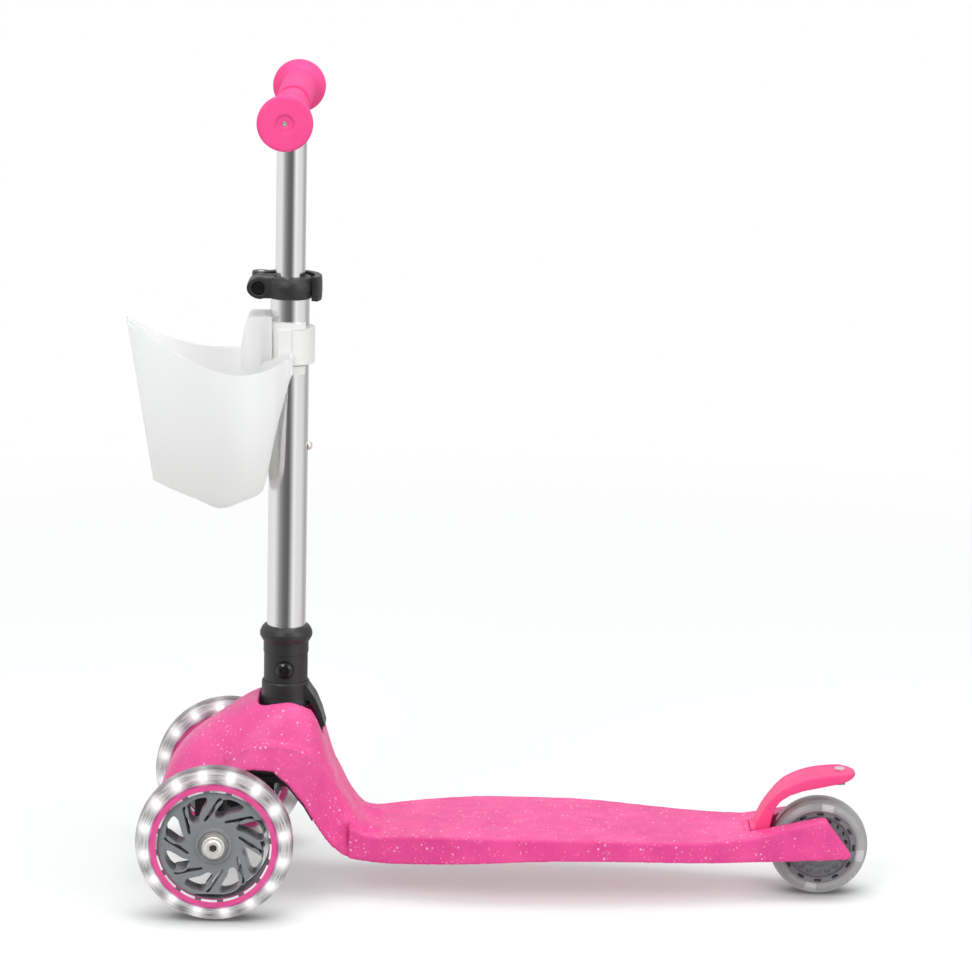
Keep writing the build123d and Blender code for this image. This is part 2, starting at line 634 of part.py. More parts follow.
def release_button():
    """Domed button that locks the column in its socket, with a flange inside the tube."""
    r, tip = BUTTON_R, SOCKET_R + BUTTON_TRAVEL + 0.6
    flange = r + 1.1
    seat = sqrt((OUTER_TUBE_R - OUTER_TUBE_WALL) ** 2 - flange ** 2) - 0.3
    profile = [(0, seat - 1.5), (flange, seat - 1.5), (flange, seat), (r, seat), (r, tip - 3.0)]
    profile += [(r - 1.0, tip - 1.4), (r - 2.8, tip - 0.4), (0, tip)]
    return turned(profile, COLUMN_X, 0, BUTTON_Z, axis="y")


def button_spring():
    bore = OUTER_TUBE_R - OUTER_TUBE_WALL
    return Pos(COLUMN_X, 1.4 - bore, BUTTON_Z) * Rot(-90, 0, 0) * coil(3.8, 0.6, 3.4, bore + 6.4)


# ================================================================ handlebar
def inner_tube():
    """Sliding tube: coped onto the crossbar, with the long slot for the guide screw."""
    tube = rod_z(INNER_TUBE_R, INNER_TUBE_FOOT_Z, BAR_Z, COLUMN_X, 0)
    tube -= rod_z(INNER_TUBE_R - INNER_TUBE_WALL, INNER_TUBE_FOOT_Z - 1, BAR_Z + 1, COLUMN_X, 0)
    tube -= rod_y(BAR_R + SEAT_FIT, -30, 30, COLUMN_X, BAR_Z)
    half = GUIDE_R + 0.3
    low = GUIDE_Z - RAISE - half - 1
    high = GUIDE_Z + LOWER + half + 1
    tube -= block(COLUMN_X - 20, COLUMN_X, -half, half, low, high)
    return tube


def lower_glide():
    """Plastic ring on the inner tube's foot that slides inside the outer tube."""
    outer = OUTER_TUBE_R - OUTER_TUBE_WALL - RUN_FIT
    inner = INNER_TUBE_R + SEAT_FIT
    low = INNER_TUBE_FOOT_Z
    profile = [(inner, low), (outer - 0.5, low), (outer, low + 0.5), (outer, low + 14), (inner, low + 14)]
    return turned(profile, COLUMN_X, 0, 0)


def crossbar():
    bar = rod_y(BAR_R, -BAR_HALF, BAR_HALF, COLUMN_X, BAR_Z)
    return bar - rod_y(BAR_R - 1.5, -BAR_HALF - 1, BAR_HALF + 1, COLUMN_X, BAR_Z)


def grip(side):
    """Soft grip: slim ribbed body with a lip at its inner end, flaring to a large end disc."""
    bore = BAR_R + SEAT_FIT
    inner_y = GRIP_INNER_Y
    end = BAR_HALF + GRIP_CAP
    flare = end - 16.0
    low = GRIP_R - 0.6
    profile = [(bore, inner_y), (GRIP_R - 1.0, inner_y), (GRIP_R, inner_y + 1.0), (GRIP_R, inner_y + 3.6)]
    profile += [(low, inner_y + 4.4)]
    for i in range(int((flare - inner_y - 8.0) / GRIP_RIB)):
        y = inner_y + 8.0 + i * GRIP_RIB
        profile += [(low, y), (GRIP_R, y + 0.7), (GRIP_R, y + 4.6), (low, y + 5.3)]
    profile += [(GRIP_R, flare), (GRIP_R + 1.2, end - 11), (GRIP_R + 3.6, end - 8)]
    profile += [(GRIP_DISC_R - 0.6, end - 5.8), (GRIP_DISC_R, end - 4.6), (GRIP_DISC_R, end - 1.8)]
    profile += [(GRIP_DISC_R - 0.6, end - 0.6), (GRIP_DISC_R - 2.0, end)]
    profile += [(6.2, end), (5.6, end - 0.9), (2.0, end - 0.9), (2.0, BAR_HALF), (bore, BAR_HALF)]
    body = turned(profile, COLUMN_X, 0, BAR_Z, axis="y")
    return body if side > 0 else mirror(body, about=Plane.XZ)


# ================================================================ basket
def basket_plan(z, spread, inset):
    """Plan outline: pointed front, full flanks, and shoulders that reach back beside the column."""
    tip = BASKET_REACH - 26.0 * spread
    back = 4.0 * spread - 4.0
    narrow = 1 - 0.25 * spread
    length = tip - back
    outline = [(1.0, 0), (0.97, 6.0), (0.82, 18.5), (0.69, 30.5), (0.545, 45.5), (0.41, 59), (0.30, 64.5)]
    outline += [(0.18, 65), (0.075, 60), (0.012, 48), (0.0, 34)]
    half = [(COLUMN_X + back + u * length, v * narrow) for u, v in outline]
    with BuildSketch(Plane.XY.offset(z)) as sketch:
        with BuildLine():
            Spline(*half, tangents=[(0, 1), (0.15, -1)])
            Spline(*[(x, -y) for x, y in half], tangents=[(0, -1), (0.15, 1)])
            Line(half[-1], (half[-1][0], -half[-1][1]))
        make_face()
        if inset:
            offset(amount=-inset, kind=Kind.INTERSECTION)
    return sketch.sketch


def basket_side(inset):
    """Side view that trims the basket: swept rim above, slanted back, boat-shaped floor below."""
    reach = COLUMN_X + BASKET_REACH
    rim = [(6, 449.5), (0, RIM_TIP_Z), (-11, 438.3), (-23, 430.8), (-40, 423.0), (-58, 417.0), (-77, 413.8)]
    rim += [(-90, 413), (-104, 415.5), (-116, 420.5), (-127, 424.5), (-136, 427)]
    back = [(-136, 427), (-127.5, 408), (-122.7, 390), (-116.7, 364), (-111.4, 336), (-109, 326)]
    floor = [(-109, 326), (-104.5, 320.5), (-94, 315.5), (-80, 308.2), (-74, 306.6), (-66, 307.6)]
    floor += [(-57.5, 309.6), (-33, 315.5), (-20, 320), (8, 331)]
    lift = 40.0 if inset else 0.0
    with BuildPart() as part:
        with BuildSketch(Plane(origin=(0, 80, 0), x_dir=(1, 0, 0), z_dir=(0, -1, 0))):
            with BuildLine():
                top = [(reach + x, z + lift) for x, z in rim]
                rear = [top[-1]] + [(reach + x + inset, z + inset) for x, z in back[1:]]
                low = [rear[-1]] + [(reach + x, z + inset) for x, z in floor[1:]]
                Spline(*top)
                Spline(*rear)
                Spline(*low)
                Line(low[-1], top[0])
            make_face()
        extrude(amount=160)
    return part.part


def clip_pocket():
    """Raised pocket in the basket's back: it slides down over the clip's tongue and hugs its ring."""
    wall = OUTER_TUBE_R + CLIP_WALL + CLIP_PLAY
    top = CLIP_HIGH_Z + 4.5
    outline = [(wall, CLIP_LOW_Z - 6), (12.5, CLIP_LOW_Z + 2), (12.5, top), (wall + 10.4, top)]
    outline += [(wall + 13.2, top - 3), (wall + 15.2, top - 11), (wall + 17, CLIP_LOW_Z + 22)]
    outline += [(wall + 17, CLIP_LOW_Z + 4), (wall + 4, CLIP_LOW_Z - 8)]
    return side_prism([(COLUMN_X + x, z) for x, z in outline], OUTER_TUBE_R + BASKET_WALL)


def column_recess(grow):
    """Open recess in the basket's back for the tube and its clip."""
    half = OUTER_TUBE_R + STRAP_WALL + 1.2 + grow
    front = COLUMN_X + OUTER_TUBE_R + CLIP_WALL + CLIP_PLAY + grow
    return block(COLUMN_X - 30, front, -half, half, 280, 480)


def tongue_space(grow):
    """T-shaped tongue of the clip, or the slot for it when grown."""
    wall = COLUMN_X + OUTER_TUBE_R + CLIP_WALL
    top = CLIP_HIGH_Z - 0.5 + grow
    low = CLIP_LOW_Z + 4 if grow == 0 else CLIP_LOW_Z - 10
    neck = block(wall - 2.0, wall + 4, -6 - grow, 6 + grow, low, top)
    head = block(wall + 3.4 - grow, wall + 10.5 + grow, -10 - grow, 10 + grow, low, top)
    return neck + head


def basket():
    """Frosted basket: pointed bucket with a swept rim and the clip's pocket at the back."""
    outer = loft([basket_plan(460, -0.08, 0), basket_plan(290, 1.0, 0)])
    inner = loft([basket_plan(460, -0.08, BASKET_WALL), basket_plan(290, 1.0, BASKET_WALL)])
    shell = outer & basket_side(0)
    shell -= (inner & basket_side(BASKET_WALL)) - column_recess(BASKET_WALL)
    shell -= column_recess(0)
    shell += clip_pocket()
    shell -= rod_z(OUTER_TUBE_R + CLIP_WALL + CLIP_PLAY / 2, 280, 480, COLUMN_X, 0)
    return shell - tongue_space(0.25)


def basket_clip():
    """White clip: front half of a ring round the outer tube, with the tongue for the basket."""
    inner = OUTER_TUBE_R + SEAT_FIT
    outer = OUTER_TUBE_R + CLIP_WALL
    ring = rod_z(outer, CLIP_LOW_Z, CLIP_HIGH_Z, COLUMN_X, 0)
    ring -= block(COLUMN_X - 30, COLUMN_X - 12.6, -30, 30, CLIP_LOW_Z - 1, CLIP_HIGH_Z + 1)
    ring -= block(COLUMN_X - 30, COLUMN_X - 2.6, -30, 30, STRAP_LOW_Z - 1, STRAP_HIGH_Z + 0.2)
    clip = ring + tongue_space(0)
    clip += block(COLUMN_X - 2.6, COLUMN_X + 8, -outer - 1.3, outer + 1.3, STRAP_LOW_Z, STRAP_HIGH_Z)
    return clip - rod_z(inner, CLIP_LOW_Z - 1, CLIP_HIGH_Z + 1, COLUMN_X, 0)


def clip_strap():
    """Rear half of the clip, snapped onto the front half's cheeks."""
    outer = OUTER_TUBE_R + STRAP_WALL
    strap = rod_z(outer, STRAP_LOW_Z, STRAP_HIGH_Z, COLUMN_X, 0)
    strap -= block(COLUMN_X - 2.6 - 0.05, COLUMN_X + 40, -30, 30, STRAP_LOW_Z - 1, STRAP_HIGH_Z + 1)
    return strap - rod_z(OUTER_TUBE_R + SEAT_FIT, STRAP_LOW_Z - 1, STRAP_HIGH_Z + 1, COLUMN_X, 0)


# ================================================================ steering knuckles and tie rod
def knuckle(side):
    """Barrel on the kingpin, boss for the wheel's axle bolt and arm back to the tie rod."""
    low = LOWER_PLATE_Z + PLATE + SIDE_PLAY
    high = UPPER_PLATE_Z - SIDE_PLAY
    y = side * KINGPIN_Y
    hub_face = side * (WHEEL_Y - HUB_HALF_W - 0.2)
    body = rod_z(9.0, low, high, FRONT_X, y)
    body += rod_y(8.0, y, hub_face - side * 6, FRONT_X, FRONT_WHEEL_R)
    body += rod_y(6.2, y, hub_face, FRONT_X, FRONT_WHEEL_R)
    arm = block(TIE_X, FRONT_X, y - 5, y + 5, 79, 84.5) + rod_z(7.0, 79, 84.5, TIE_X, y)
    body += arm
    body -= rod_z(KINGPIN_R + RUN_FIT, low - 1, high + 1, FRONT_X, y)
    body -= rod_z(3.2, 70, 90, TIE_X, y)
    return body - rod_y(AXLE_R + SEAT_FIT, y + side * 6.5, hub_face + side, FRONT_X, FRONT_WHEEL_R)


def axle_bolt(side):
    """Shoulder bolt through the front wheel's bearings, with a socket head."""
    start = side * (KINGPIN_Y + 6.5)
    face = WHEEL_Y + HUB_HALF_W
    bolt = rod_y(AXLE_R, start, side * (face + 1.0), FRONT_X, FRONT_WHEEL_R)
    bolt += rod_y(6.4, side * (face + SEAT_FIT), side * (face + 3.8), FRONT_X, FRONT_WHEEL_R)
    return bolt - rod_y(2.6, side * (face + 1.4), side * (face + 5), FRONT_X, FRONT_WHEEL_R)


def tie_rod():
    """Flat bar under the chassis plate; two ears in its middle hold the column's ball."""
    low, high = 72.0, 76.5
    bar = block(TIE_X - 5, TIE_X + 5, -KINGPIN_Y, KINGPIN_Y, low, high)
    for y in (-KINGPIN_Y, KINGPIN_Y):
        bar += rod_z(7.0, low, high, TIE_X, y)
        bar -= rod_z(2.5 + SEAT_FIT, low - 1, high + 1, TIE_X, y)
    inner = BALL_R + 0.15
    for y in (-inner - 3, inner):
        bar += block(TIE_X - 5, TIE_X + 5, y, y + 3, low, BALL_Z + 4.5)
    return bar


def tie_rod_pins():
    """Headed pins through the tie rod and the knuckle arms."""
    pins = Part()
    for y in (-KINGPIN_Y, KINGPIN_Y):
        pins += rod_z(2.5, 70.5, 86.5, TIE_X, y) + rod_z(4.6, 70.0, 71.95, TIE_X, y)
    return pins


# ================================================================ wheels
def polar(r, angle):
    """Point at a radius and an angle in degrees."""
    return (r * cos(radians(angle)), r * sin(radians(angle)))


def swirl(r):
    """Angle that the swirl of the slots has reached at radius r."""
    return 30.0 * (r - 17.0) / 20.0


def spoke_cuts():
    """One D-shaped window and one slot of the swirl pattern, as solids about the wheel's middle."""
    rim = RIM_IN_R - 1.0
    apex = HUB_R + 6.2
    lead = 11.0
    trail = -5.5
    tip = polar(apex, trail)
    shoulder = polar(rim, swirl(rim) - lead)
    with BuildPart() as window:
        with BuildSketch(Plane.XY.offset(-15)) as outline:
            with BuildLine():
                ThreePointArc(tip, polar((apex + rim) / 2, swirl((apex + rim) / 2) - lead - 1.5), shoulder)
                ThreePointArc(shoulder, polar(rim, 7), polar(rim, trail - 1))
                Line(polar(rim, trail - 1), tip)
            make_face()
            fillet(outline.vertices(), 1.9)
        extrude(amount=30)
    with BuildPart() as slot:
        with BuildSketch(Plane.XY.offset(-15)):
            SlotArc(ThreePointArc(*[polar(r, swirl(r)) for r in (HUB_R + 3.2, 27, RIM_IN_R - 1)]), 3.0)
        extrude(amount=30)
    return window.part + slot.part


def swirl_core():
    """Front wheel core about the origin, axis along Z: hub, eight slotted swirl spokes, rim."""
    seat = BEARING_R + SEAT_FIT
    lip = HUB_HALF_W - BEARING_W
    half_web = 7.5
    rim_w = FRONT_TYRE_W / 2 - 1.2
    profile = [(8.5, -lip), (8.5, lip), (seat, lip), (seat, HUB_HALF_W - 0.2), (HUB_R, HUB_HALF_W - 0.2)]
    profile += [(HUB_R + 1.2, half_web), (RIM_IN_R, half_web), (RIM_IN_R + 1.0, rim_w)]
    profile += [(RING_IN_R - 0.2 - SEAT_FIT, rim_w), (RING_IN_R - 0.2 - SEAT_FIT, -rim_w)]
    profile += [(RIM_IN_R + 1.0, -rim_w), (RIM_IN_R, -half_web), (HUB_R + 1.2, -half_web)]
    profile += [(HUB_R, 0.2 - HUB_HALF_W), (seat, 0.2 - HUB_HALF_W), (seat, -lip)]
    core = turned(profile, 0, 0, 0)
    cuts = spoke_cuts()
    for i in range(SPOKES):
        core -= Rot(0, 0, i * 360 / SPOKES) * cuts
    return core


def front_wheel_at(side):
    """Place of a front wheel's middle, turning Z onto the axle."""
    return Pos(FRONT_X, side * WHEEL_Y, FRONT_WHEEL_R) * Rot(90, 0, 0)


def front_core(side):
    return front_wheel_at(side) * Rot(0, 0, 69) * swirl_core()


def light_pods(grow):
    """Light blocks spread round the tyre, or the pockets for them when grown."""
    pods = Part()
    for i in range(LIGHTS):
        pod = Pos(52.5, 0, 0) * Box(3.6 + grow, 6.0 + grow, 9.0 + grow)
        pods += Rot(0, 0, LIGHT_LEAD + i * 360 / LIGHTS) * pod
    return pods


def front_tyre(side):
    """Clear tyre with rounded shoulders, a seat for each coloured ring and pockets for the lights."""
    half = FRONT_TYRE_W / 2
    seat = RING_IN_R - 0.2
    r = FRONT_WHEEL_R
    step = RING_OUT_R + SEAT_FIT
    deep = half - RING_THICK - SEAT_FIT
    upper = [(seat, deep), (step, deep), (step, half), (r - 6.5, half), (r - 2.9, half - 1.7)]
    upper += [(r - 0.8, half - 5.2), (r, half - 9)]
    lower = [(x, -z) for x, z in reversed(upper)]
    return front_wheel_at(side) * (turned(upper + lower, 0, 0, 0) - light_pods(0.1))


def front_ring(side):
    """Coloured rings, one in each face of the tyre."""
    half = FRONT_TYRE_W / 2
    rings = Part()
    for y in (-half, half - RING_THICK):
        ring = Pos(0, 0, y + RING_THICK / 2) * Cylinder(RING_OUT_R, RING_THICK)
        rings += ring - Cylinder(RING_IN_R, 2 * FRONT_TYRE_W)
    return front_wheel_at(side) * rings


def bearings(x, y, z):
    """Pair of 608 bearings in a hub."""
    pair = Part()
    for side in (-1, 1):
        mid = y + side * (HUB_HALF_W - BEARING_W / 2)
        pair += rod_y(BEARING_R, mid - BEARING_W / 2 + 0.05, mid + BEARING_W / 2, x, z)
    return pair - rod_y(AXLE_R + RUN_FIT, y - 20, y + 20, x, z)


def hub_spacer(x, y, z):
    """Sleeve between a hub's two bearings."""
    half = HUB_HALF_W - BEARING_W
    return rod_y(6.0, y - half, y + half, x, z) - rod_y(AXLE_R + RUN_FIT, y - 9, y + 9, x, z)


def rear_core():
    """Rear wheel core: hub, web with a ring of round holes, and a ring of slots near the rim."""
    seat = BEARING_R + SEAT_FIT
    lip = HUB_HALF_W - BEARING_W
    rim_w = REAR_TYRE_W / 2 - 2.0
    half_web = 5.0
    profile = [(8.5, -lip), (8.5, lip), (seat, lip), (seat, HUB_HALF_W - 0.2), (13.6, HUB_HALF_W - 0.2)]
    profile += [(16.5, half_web + 2), (24.0, half_web + 2), (25.0, rim_w), (REAR_CORE_R, rim_w)]
    profile += [(x, -z) for x, z in reversed(profile[2:])]
    core = turned(profile, 0, 0, 0)
    for i in range(REAR_HOLES):
        core -= Rot(0, 0, (i + 0.5) * 360 / REAR_HOLES) * Pos(20.4, 0, 0) * Cylinder(2.3, 30)
    slot = extrude(SlotOverall(6.0, 2.4, rotation=90), 20, both=True)
    for i in range(REAR_SLOTS):
        core -= Rot(0, 0, i * 360 / REAR_SLOTS) * Pos(26.8, 0, 0) * slot
    return Pos(REAR_X, 0, REAR_WHEEL_R) * Rot(90, 0, 0) * core


def rear_tyre():
    half = REAR_TYRE_W / 2
    r = REAR_WHEEL_R
    seat = REAR_CORE_R + SEAT_FIT
    upper = [(seat, half - 1.6), (seat + 1.4, half), (r - 6, half), (r - 2.6, half - 1.9)]
    upper += [(r - 0.7, half - 5.2), (r, half - 9)]
    lower = [(x, -z) for x, z in reversed(upper)]
    return turned(upper + lower, REAR_X, 0, REAR_WHEEL_R, axis="y")


# ================================================================ brake
def brake_top():
    """Upper line of the foot brake in the side view, from its root to its tip."""
    points = [(53.0, 47.0), (50.4, 55.6), (44.7, 68.6), (40.2, 75.6), (32.7, 84.0), (19.0, 92.6), (5.0, 97.0)]
    points += [(-5.0, 98.4), (-15.4, 99.0), (-23.4, 98.2)]
    return Spline(*[(REAR_X + x, z) for x, z in points])


def brake_form(inset):
    """Side form of the foot brake, or of the hollow beneath it when inset."""
    lower = [(-26.5, 95.5), (-21.0, 93.6), (-14.8, 92.4), (-7.0, 90.6), (0.6, 88.8)]
    lower += [(6.8, 87.4), (16.0, 85.2)]
    lower += [(26.6, 80.6), (34.2, 72.8), (38.0, 61.5), (40.2, 50.0)]
    half = BRAKE_HALF_W - inset
    with BuildPart() as part:
        with BuildSketch(Plane(origin=(0, half, 0), x_dir=(1, 0, 0), z_dir=(0, -1, 0))):
            with BuildLine():
                top = brake_top()
                low = [(REAR_X + x, z) for x, z in lower]
                ThreePointArc(top @ 1, (REAR_X - 26.8, 97.2), low[0])
                Spline(*low)
                Line(low[-1], top @ 0)
            make_face()
        extrude(amount=2 * half)
    return part.part


def brake_plan():
    """Plan view of the foot brake: narrow root, parallel sides and a round tip."""
    root, wide = BRAKE_ROOT_HALF_W, BRAKE_HALF_W
    side = [(REAR_X + 60, root), (REAR_X + 40, root), (REAR_X + 28, wide), (REAR_X - 14, wide)]
    with BuildPart() as part:
        with BuildSketch(Plane.XY.offset(BRAKE_PIVOT[1])):
            with BuildLine():
                Polyline(*side)
                ThreePointArc(side[-1], (REAR_X - 26.8, 0), (side[-1][0], -wide))
                Polyline(*[(x, -y) for x, y in reversed(side)])
                Line((side[0][0], -root), side[0])
            make_face()
        extrude(amount=80)
    return part.part


def brake_lever():
    """Curved foot brake: hollow arch over the rear wheel, ribbed on top, with a root on its pin."""
    wall = 3.2
    x, z = BRAKE_PIVOT
    lever = brake_form(0) & brake_plan()
    inside = Pos(-0.6, 0, -wall) * brake_form(wall) & Pos(0, 0, -10) * brake_plan()
    inside &= block(REAR_X - 21, REAR_X + 33, -30, 30, 60, 120)
    lever -= inside
    lever += rod_z(4.6, PAD_TOP_Z, 110, BRAKE_SCREW_X, 0) & brake_form(0)
    top = brake_top()
    for i in range(11):
        mark = top @ (0.36 + i * 0.05)
        lever -= rod_y(0.9, -BRAKE_HALF_W + 3, BRAKE_HALF_W - 3, mark.X, mark.Y + 0.35)
    lever += rod_y(6.0, -BRAKE_ROOT_HALF_W, 9.8, x, z)
    lever += block(x - 5.9, x + 5.9, -BRAKE_ROOT_HALF_W, 9.8, z, z + 8)
    lever -= rod_y(5.6, 9.8, 20, x, z)
    lever -= rod_z(2.1, 80, 120, BRAKE_SCREW_X, 0)
    return lever - rod_y(BRAKE_PIN_R + RUN_FIT, -20, 20, x, z)


def brake_plate():
    """Steel rubbing plate screwed under the foot brake."""
    low = PAD_TOP_Z - 1.7
    strip = [(-18.5, low), (-10, low), (4, low - 2.9), (12, low - 5.2), (22, low - 9.1)]
    strip += [(22.9, PAD_TOP_Z - 9.0), (12.6, PAD_TOP_Z - 5.2), (4.4, PAD_TOP_Z - 2.8), (-9.8, PAD_TOP_Z)]
    strip += [(-18.5, PAD_TOP_Z)]
    plate = side_prism([(REAR_X + px, pz) for px, pz in strip], 9.5)
    return plate - rod_z(2.1, 80, 120, BRAKE_SCREW_X, 0)


def brake_screw():
    """Dome-headed screw through the foot brake and its plate."""
    x = BRAKE_SCREW_X
    head = (brake_top() @ 0.93).Y + 0.2
    nut = PAD_TOP_Z - 1.75
    screw = rod_z(2.05, nut - 2, head + 1, x, 0) + rod_z(3.9, head, head + 1.5, x, 0)
    screw += rod_z(3.6, nut - 2, nut, x, 0)
    return screw - rod_z(1.5, head + 0.7, head + 2, x, 0)


SUBPARTS = {
    "deck_body": deck_body,
    "front_chassis": front_chassis,
    "arch_liner": arch_liner,
    "pivot_pin": pivot_pin,
    "kingpins": kingpins,
    "chassis_screws": chassis_screws,
    "left_lean_spring": lambda: lean_spring(1),
    "right_lean_spring": lambda: lean_spring(-1),
    "rear_axle": rear_axle,
    "rear_spacers": rear_spacers,
    "brake_pin": brake_pin,
    "brake_spring": brake_spring,
    "steering_base": steering_base,
    "socket_body": socket_body,
    "socket_ring": socket_ring,
    "outer_tube": outer_tube,
    "tube_bushing": tube_bushing,
    "guide_screw": guide_screw,
    "clamp_collar": clamp_collar,
    "clamp_bolt": clamp_bolt,
    "clamp_lever": clamp_lever,
    "clamp_pin": clamp_pin,
    "release_button": release_button,
    "button_spring": button_spring,
    "inner_tube": inner_tube,
    "lower_glide": lower_glide,
    "crossbar": crossbar,
    "left_grip": lambda: grip(1),
    "right_grip": lambda: grip(-1),
    "basket": basket,
    "basket_clip": basket_clip,
    "clip_strap": clip_strap,
    "left_knuckle": lambda: knuckle(1),
    "right_knuckle": lambda: knuckle(-1),
    "left_axle_bolt": lambda: axle_bolt(1),
    "right_axle_bolt": lambda: axle_bolt(-1),
    "tie_rod": tie_rod,
    "tie_rod_pins": tie_rod_pins,
    "left_core": lambda: front_core(1),
    "left_tyre": lambda: front_tyre(1),
    "left_ring": lambda: front_ring(1),
    "left_lights": lambda: front_wheel_at(1) * light_pods(0),
    "left_bearings": lambda: bearings(FRONT_X, WHEEL_Y, FRONT_WHEEL_R),
    "left_spacer": lambda: hub_spacer(FRONT_X, WHEEL_Y, FRONT_WHEEL_R),
    "right_core": lambda: front_core(-1),
    "right_tyre": lambda: front_tyre(-1),
    "right_ring": lambda: front_ring(-1),
    "right_lights": lambda: front_wheel_at(-1) * light_pods(0),
    "right_bearings": lambda: bearings(FRONT_X, -WHEEL_Y, FRONT_WHEEL_R),
    "right_spacer": lambda: hub_spacer(FRONT_X, -WHEEL_Y, FRONT_WHEEL_R),
    "rear_core": rear_core,
    "rear_tyre": rear_tyre,
    "rear_bearings": lambda: bearings(REAR_X, 0, REAR_WHEEL_R),
    "rear_spacer": lambda: hub_spacer(REAR_X, 0, REAR_WHEEL_R),
    "brake_lever": brake_lever,
    "brake_plate": brake_plate,
    "brake_screw": brake_screw,
}


def build():
    os.makedirs("parts", exist_ok=True)
    for name, make in SUBPARTS.items():
        export_step(make(), f"parts/{name}.step")


if __name__ == "__main__":
    build()
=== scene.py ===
from math import cos, pi, radians, sin

import bmesh
import bpy
from mathutils import Matrix, Vector
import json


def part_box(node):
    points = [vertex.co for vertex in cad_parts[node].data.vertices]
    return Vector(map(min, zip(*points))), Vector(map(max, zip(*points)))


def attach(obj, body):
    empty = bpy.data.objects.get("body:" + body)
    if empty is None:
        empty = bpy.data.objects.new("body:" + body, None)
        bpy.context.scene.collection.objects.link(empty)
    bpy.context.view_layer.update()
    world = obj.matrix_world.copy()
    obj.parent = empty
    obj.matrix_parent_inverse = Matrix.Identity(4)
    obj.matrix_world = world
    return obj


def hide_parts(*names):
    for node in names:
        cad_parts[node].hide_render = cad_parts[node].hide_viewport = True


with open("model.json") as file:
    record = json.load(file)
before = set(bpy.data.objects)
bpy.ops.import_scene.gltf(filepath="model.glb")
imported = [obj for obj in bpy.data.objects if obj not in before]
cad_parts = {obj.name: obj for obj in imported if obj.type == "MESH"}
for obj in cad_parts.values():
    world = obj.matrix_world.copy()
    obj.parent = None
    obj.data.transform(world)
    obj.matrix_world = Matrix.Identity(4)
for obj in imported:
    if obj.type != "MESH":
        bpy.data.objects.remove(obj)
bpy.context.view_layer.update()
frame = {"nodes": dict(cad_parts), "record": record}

# ---------------------------------------------------------------- places read from the frame
MM = 0.001
TYRE = {side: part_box(f"{side}_tyre") for side in ("left", "right", "rear")}
AXLE = {side: (low + high) / 2 for side, (low, high) in TYRE.items()}
COLUMN_X = sum(painted_contact_shadow.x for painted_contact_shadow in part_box("outer_tube")) / 2
BAR = (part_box("crossbar")[0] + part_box("crossbar")[1]) / 2
BODY_OF = {node: body for body, nodes in frame["record"]["behaviour"]["bodies"].items() for node in nodes}
SIDE_SIGN = {"left": 1, "right": -1}
SLOT_OF = {part["node"]: part["material_slot"] for part in frame["record"]["subparts"]}

# ---------------------------------------------------------------- wheel sizes
SPOKES = 8
LIGHTS = 16
LIGHT_LEAD = 13.3       # degrees from straight ahead to a light
LIGHT_R = 53.5 * MM
BLOCKS = 4              # pale blocks in the rear tyre
BLOCK_R = 32.3 * MM
RINGED_R = 44.0 * MM    # the ring is pink outside this radius
WINDOW = ((22.0, -5.5), (27.6, -2.6), (33.6, -6.0), (37.2, -13.0), (38.4, -21.5), (38.5, -30.0),
          (37.6, -36.4), (34.6, -36.8), (30.8, -32.2), (26.4, -22.8))    # radius, degrees in its eighth
SLOT_START, SLOT_END = (20.4, -25.5), (35.8, -52.0)                      # radius, degrees in its eighth
SLOT_HALF = 1.8 * MM
HUB_HOLE_R = 11.4 * MM
FACE_HALF_W = 8.8 * MM
FACE_ROUND = 0.7 * MM   # round edges of spokes and windows
HUB = ((11.3, -11.2), (11.3, 11.2), (12.2, 11.6), (13.6, 11.2), (14.6, 9.4), (15.8, 8.3), (15.8, -8.3),
       (14.6, -9.4), (13.6, -11.2), (12.2, -11.6))                       # radius, height
CAP = ((8.6, -0.9), (8.6, 0.2), (8.2, 0.7), (7.2, 0.8), (6.9, 0.35), (6.4, 0.35), (6.1, 1.1), (5.2, 1.7),
       (4.1, 1.9), (3.3, 1.7), (3.0, -0.6))
HEXAGON_R = 3.4         # socket of the bolt's cap, in the cap's millimetres
LATHE_STEPS = 96

# ---------------------------------------------------------------- mouldings that are softened or closed
SEAM_BACK = 112.7 * MM          # filled strip down each side wall, behind the front axle
SEAM_HALF = 2.6 * MM
SEAM_FADE = 14 * MM             # stretch over which the walls relax less and less
BAND_END_BACK = 113.5 * MM      # end of the arch band, behind the front axle
STIFF_REACH = 52 * MM           # from the column, and above STIFF_LOW_Z: thin walls that hardly relax
STIFF_LOW_Z = 78 * MM
ARCH_EDGE = ((-2, 108), (-10, 116), (-18, 120.5), (-29, 123.3), (-44, 124.5), (-59, 121.5), (-71.5, 113.5),
             (-82, 99), (-93, 82), (-106, 60), (-113.5, 52))     # x from the front axle, z
BAND_LOW_Z = 40 * MM
BAND_RISE = 0.7                 # millimetres
RIDGE_RISE = 0.7                # millimetres on top of the band's rise
RIDGE_DEPTH = 1.6 * MM          # from the band's edge to the top of the ridge
RIDGE_HALF = 3.2 * MM
BAND_SLOPE = 3 * MM             # from the wall up to the band
BAND_FADES = (8 * MM, 14 * MM)  # at the band's front and rear end
RING_BORE = 16.2 * MM           # clamp collar and lever: the walls outside this radius swell
TIP_LENGTH = 13 * MM            # rear end of the brake that is closed below

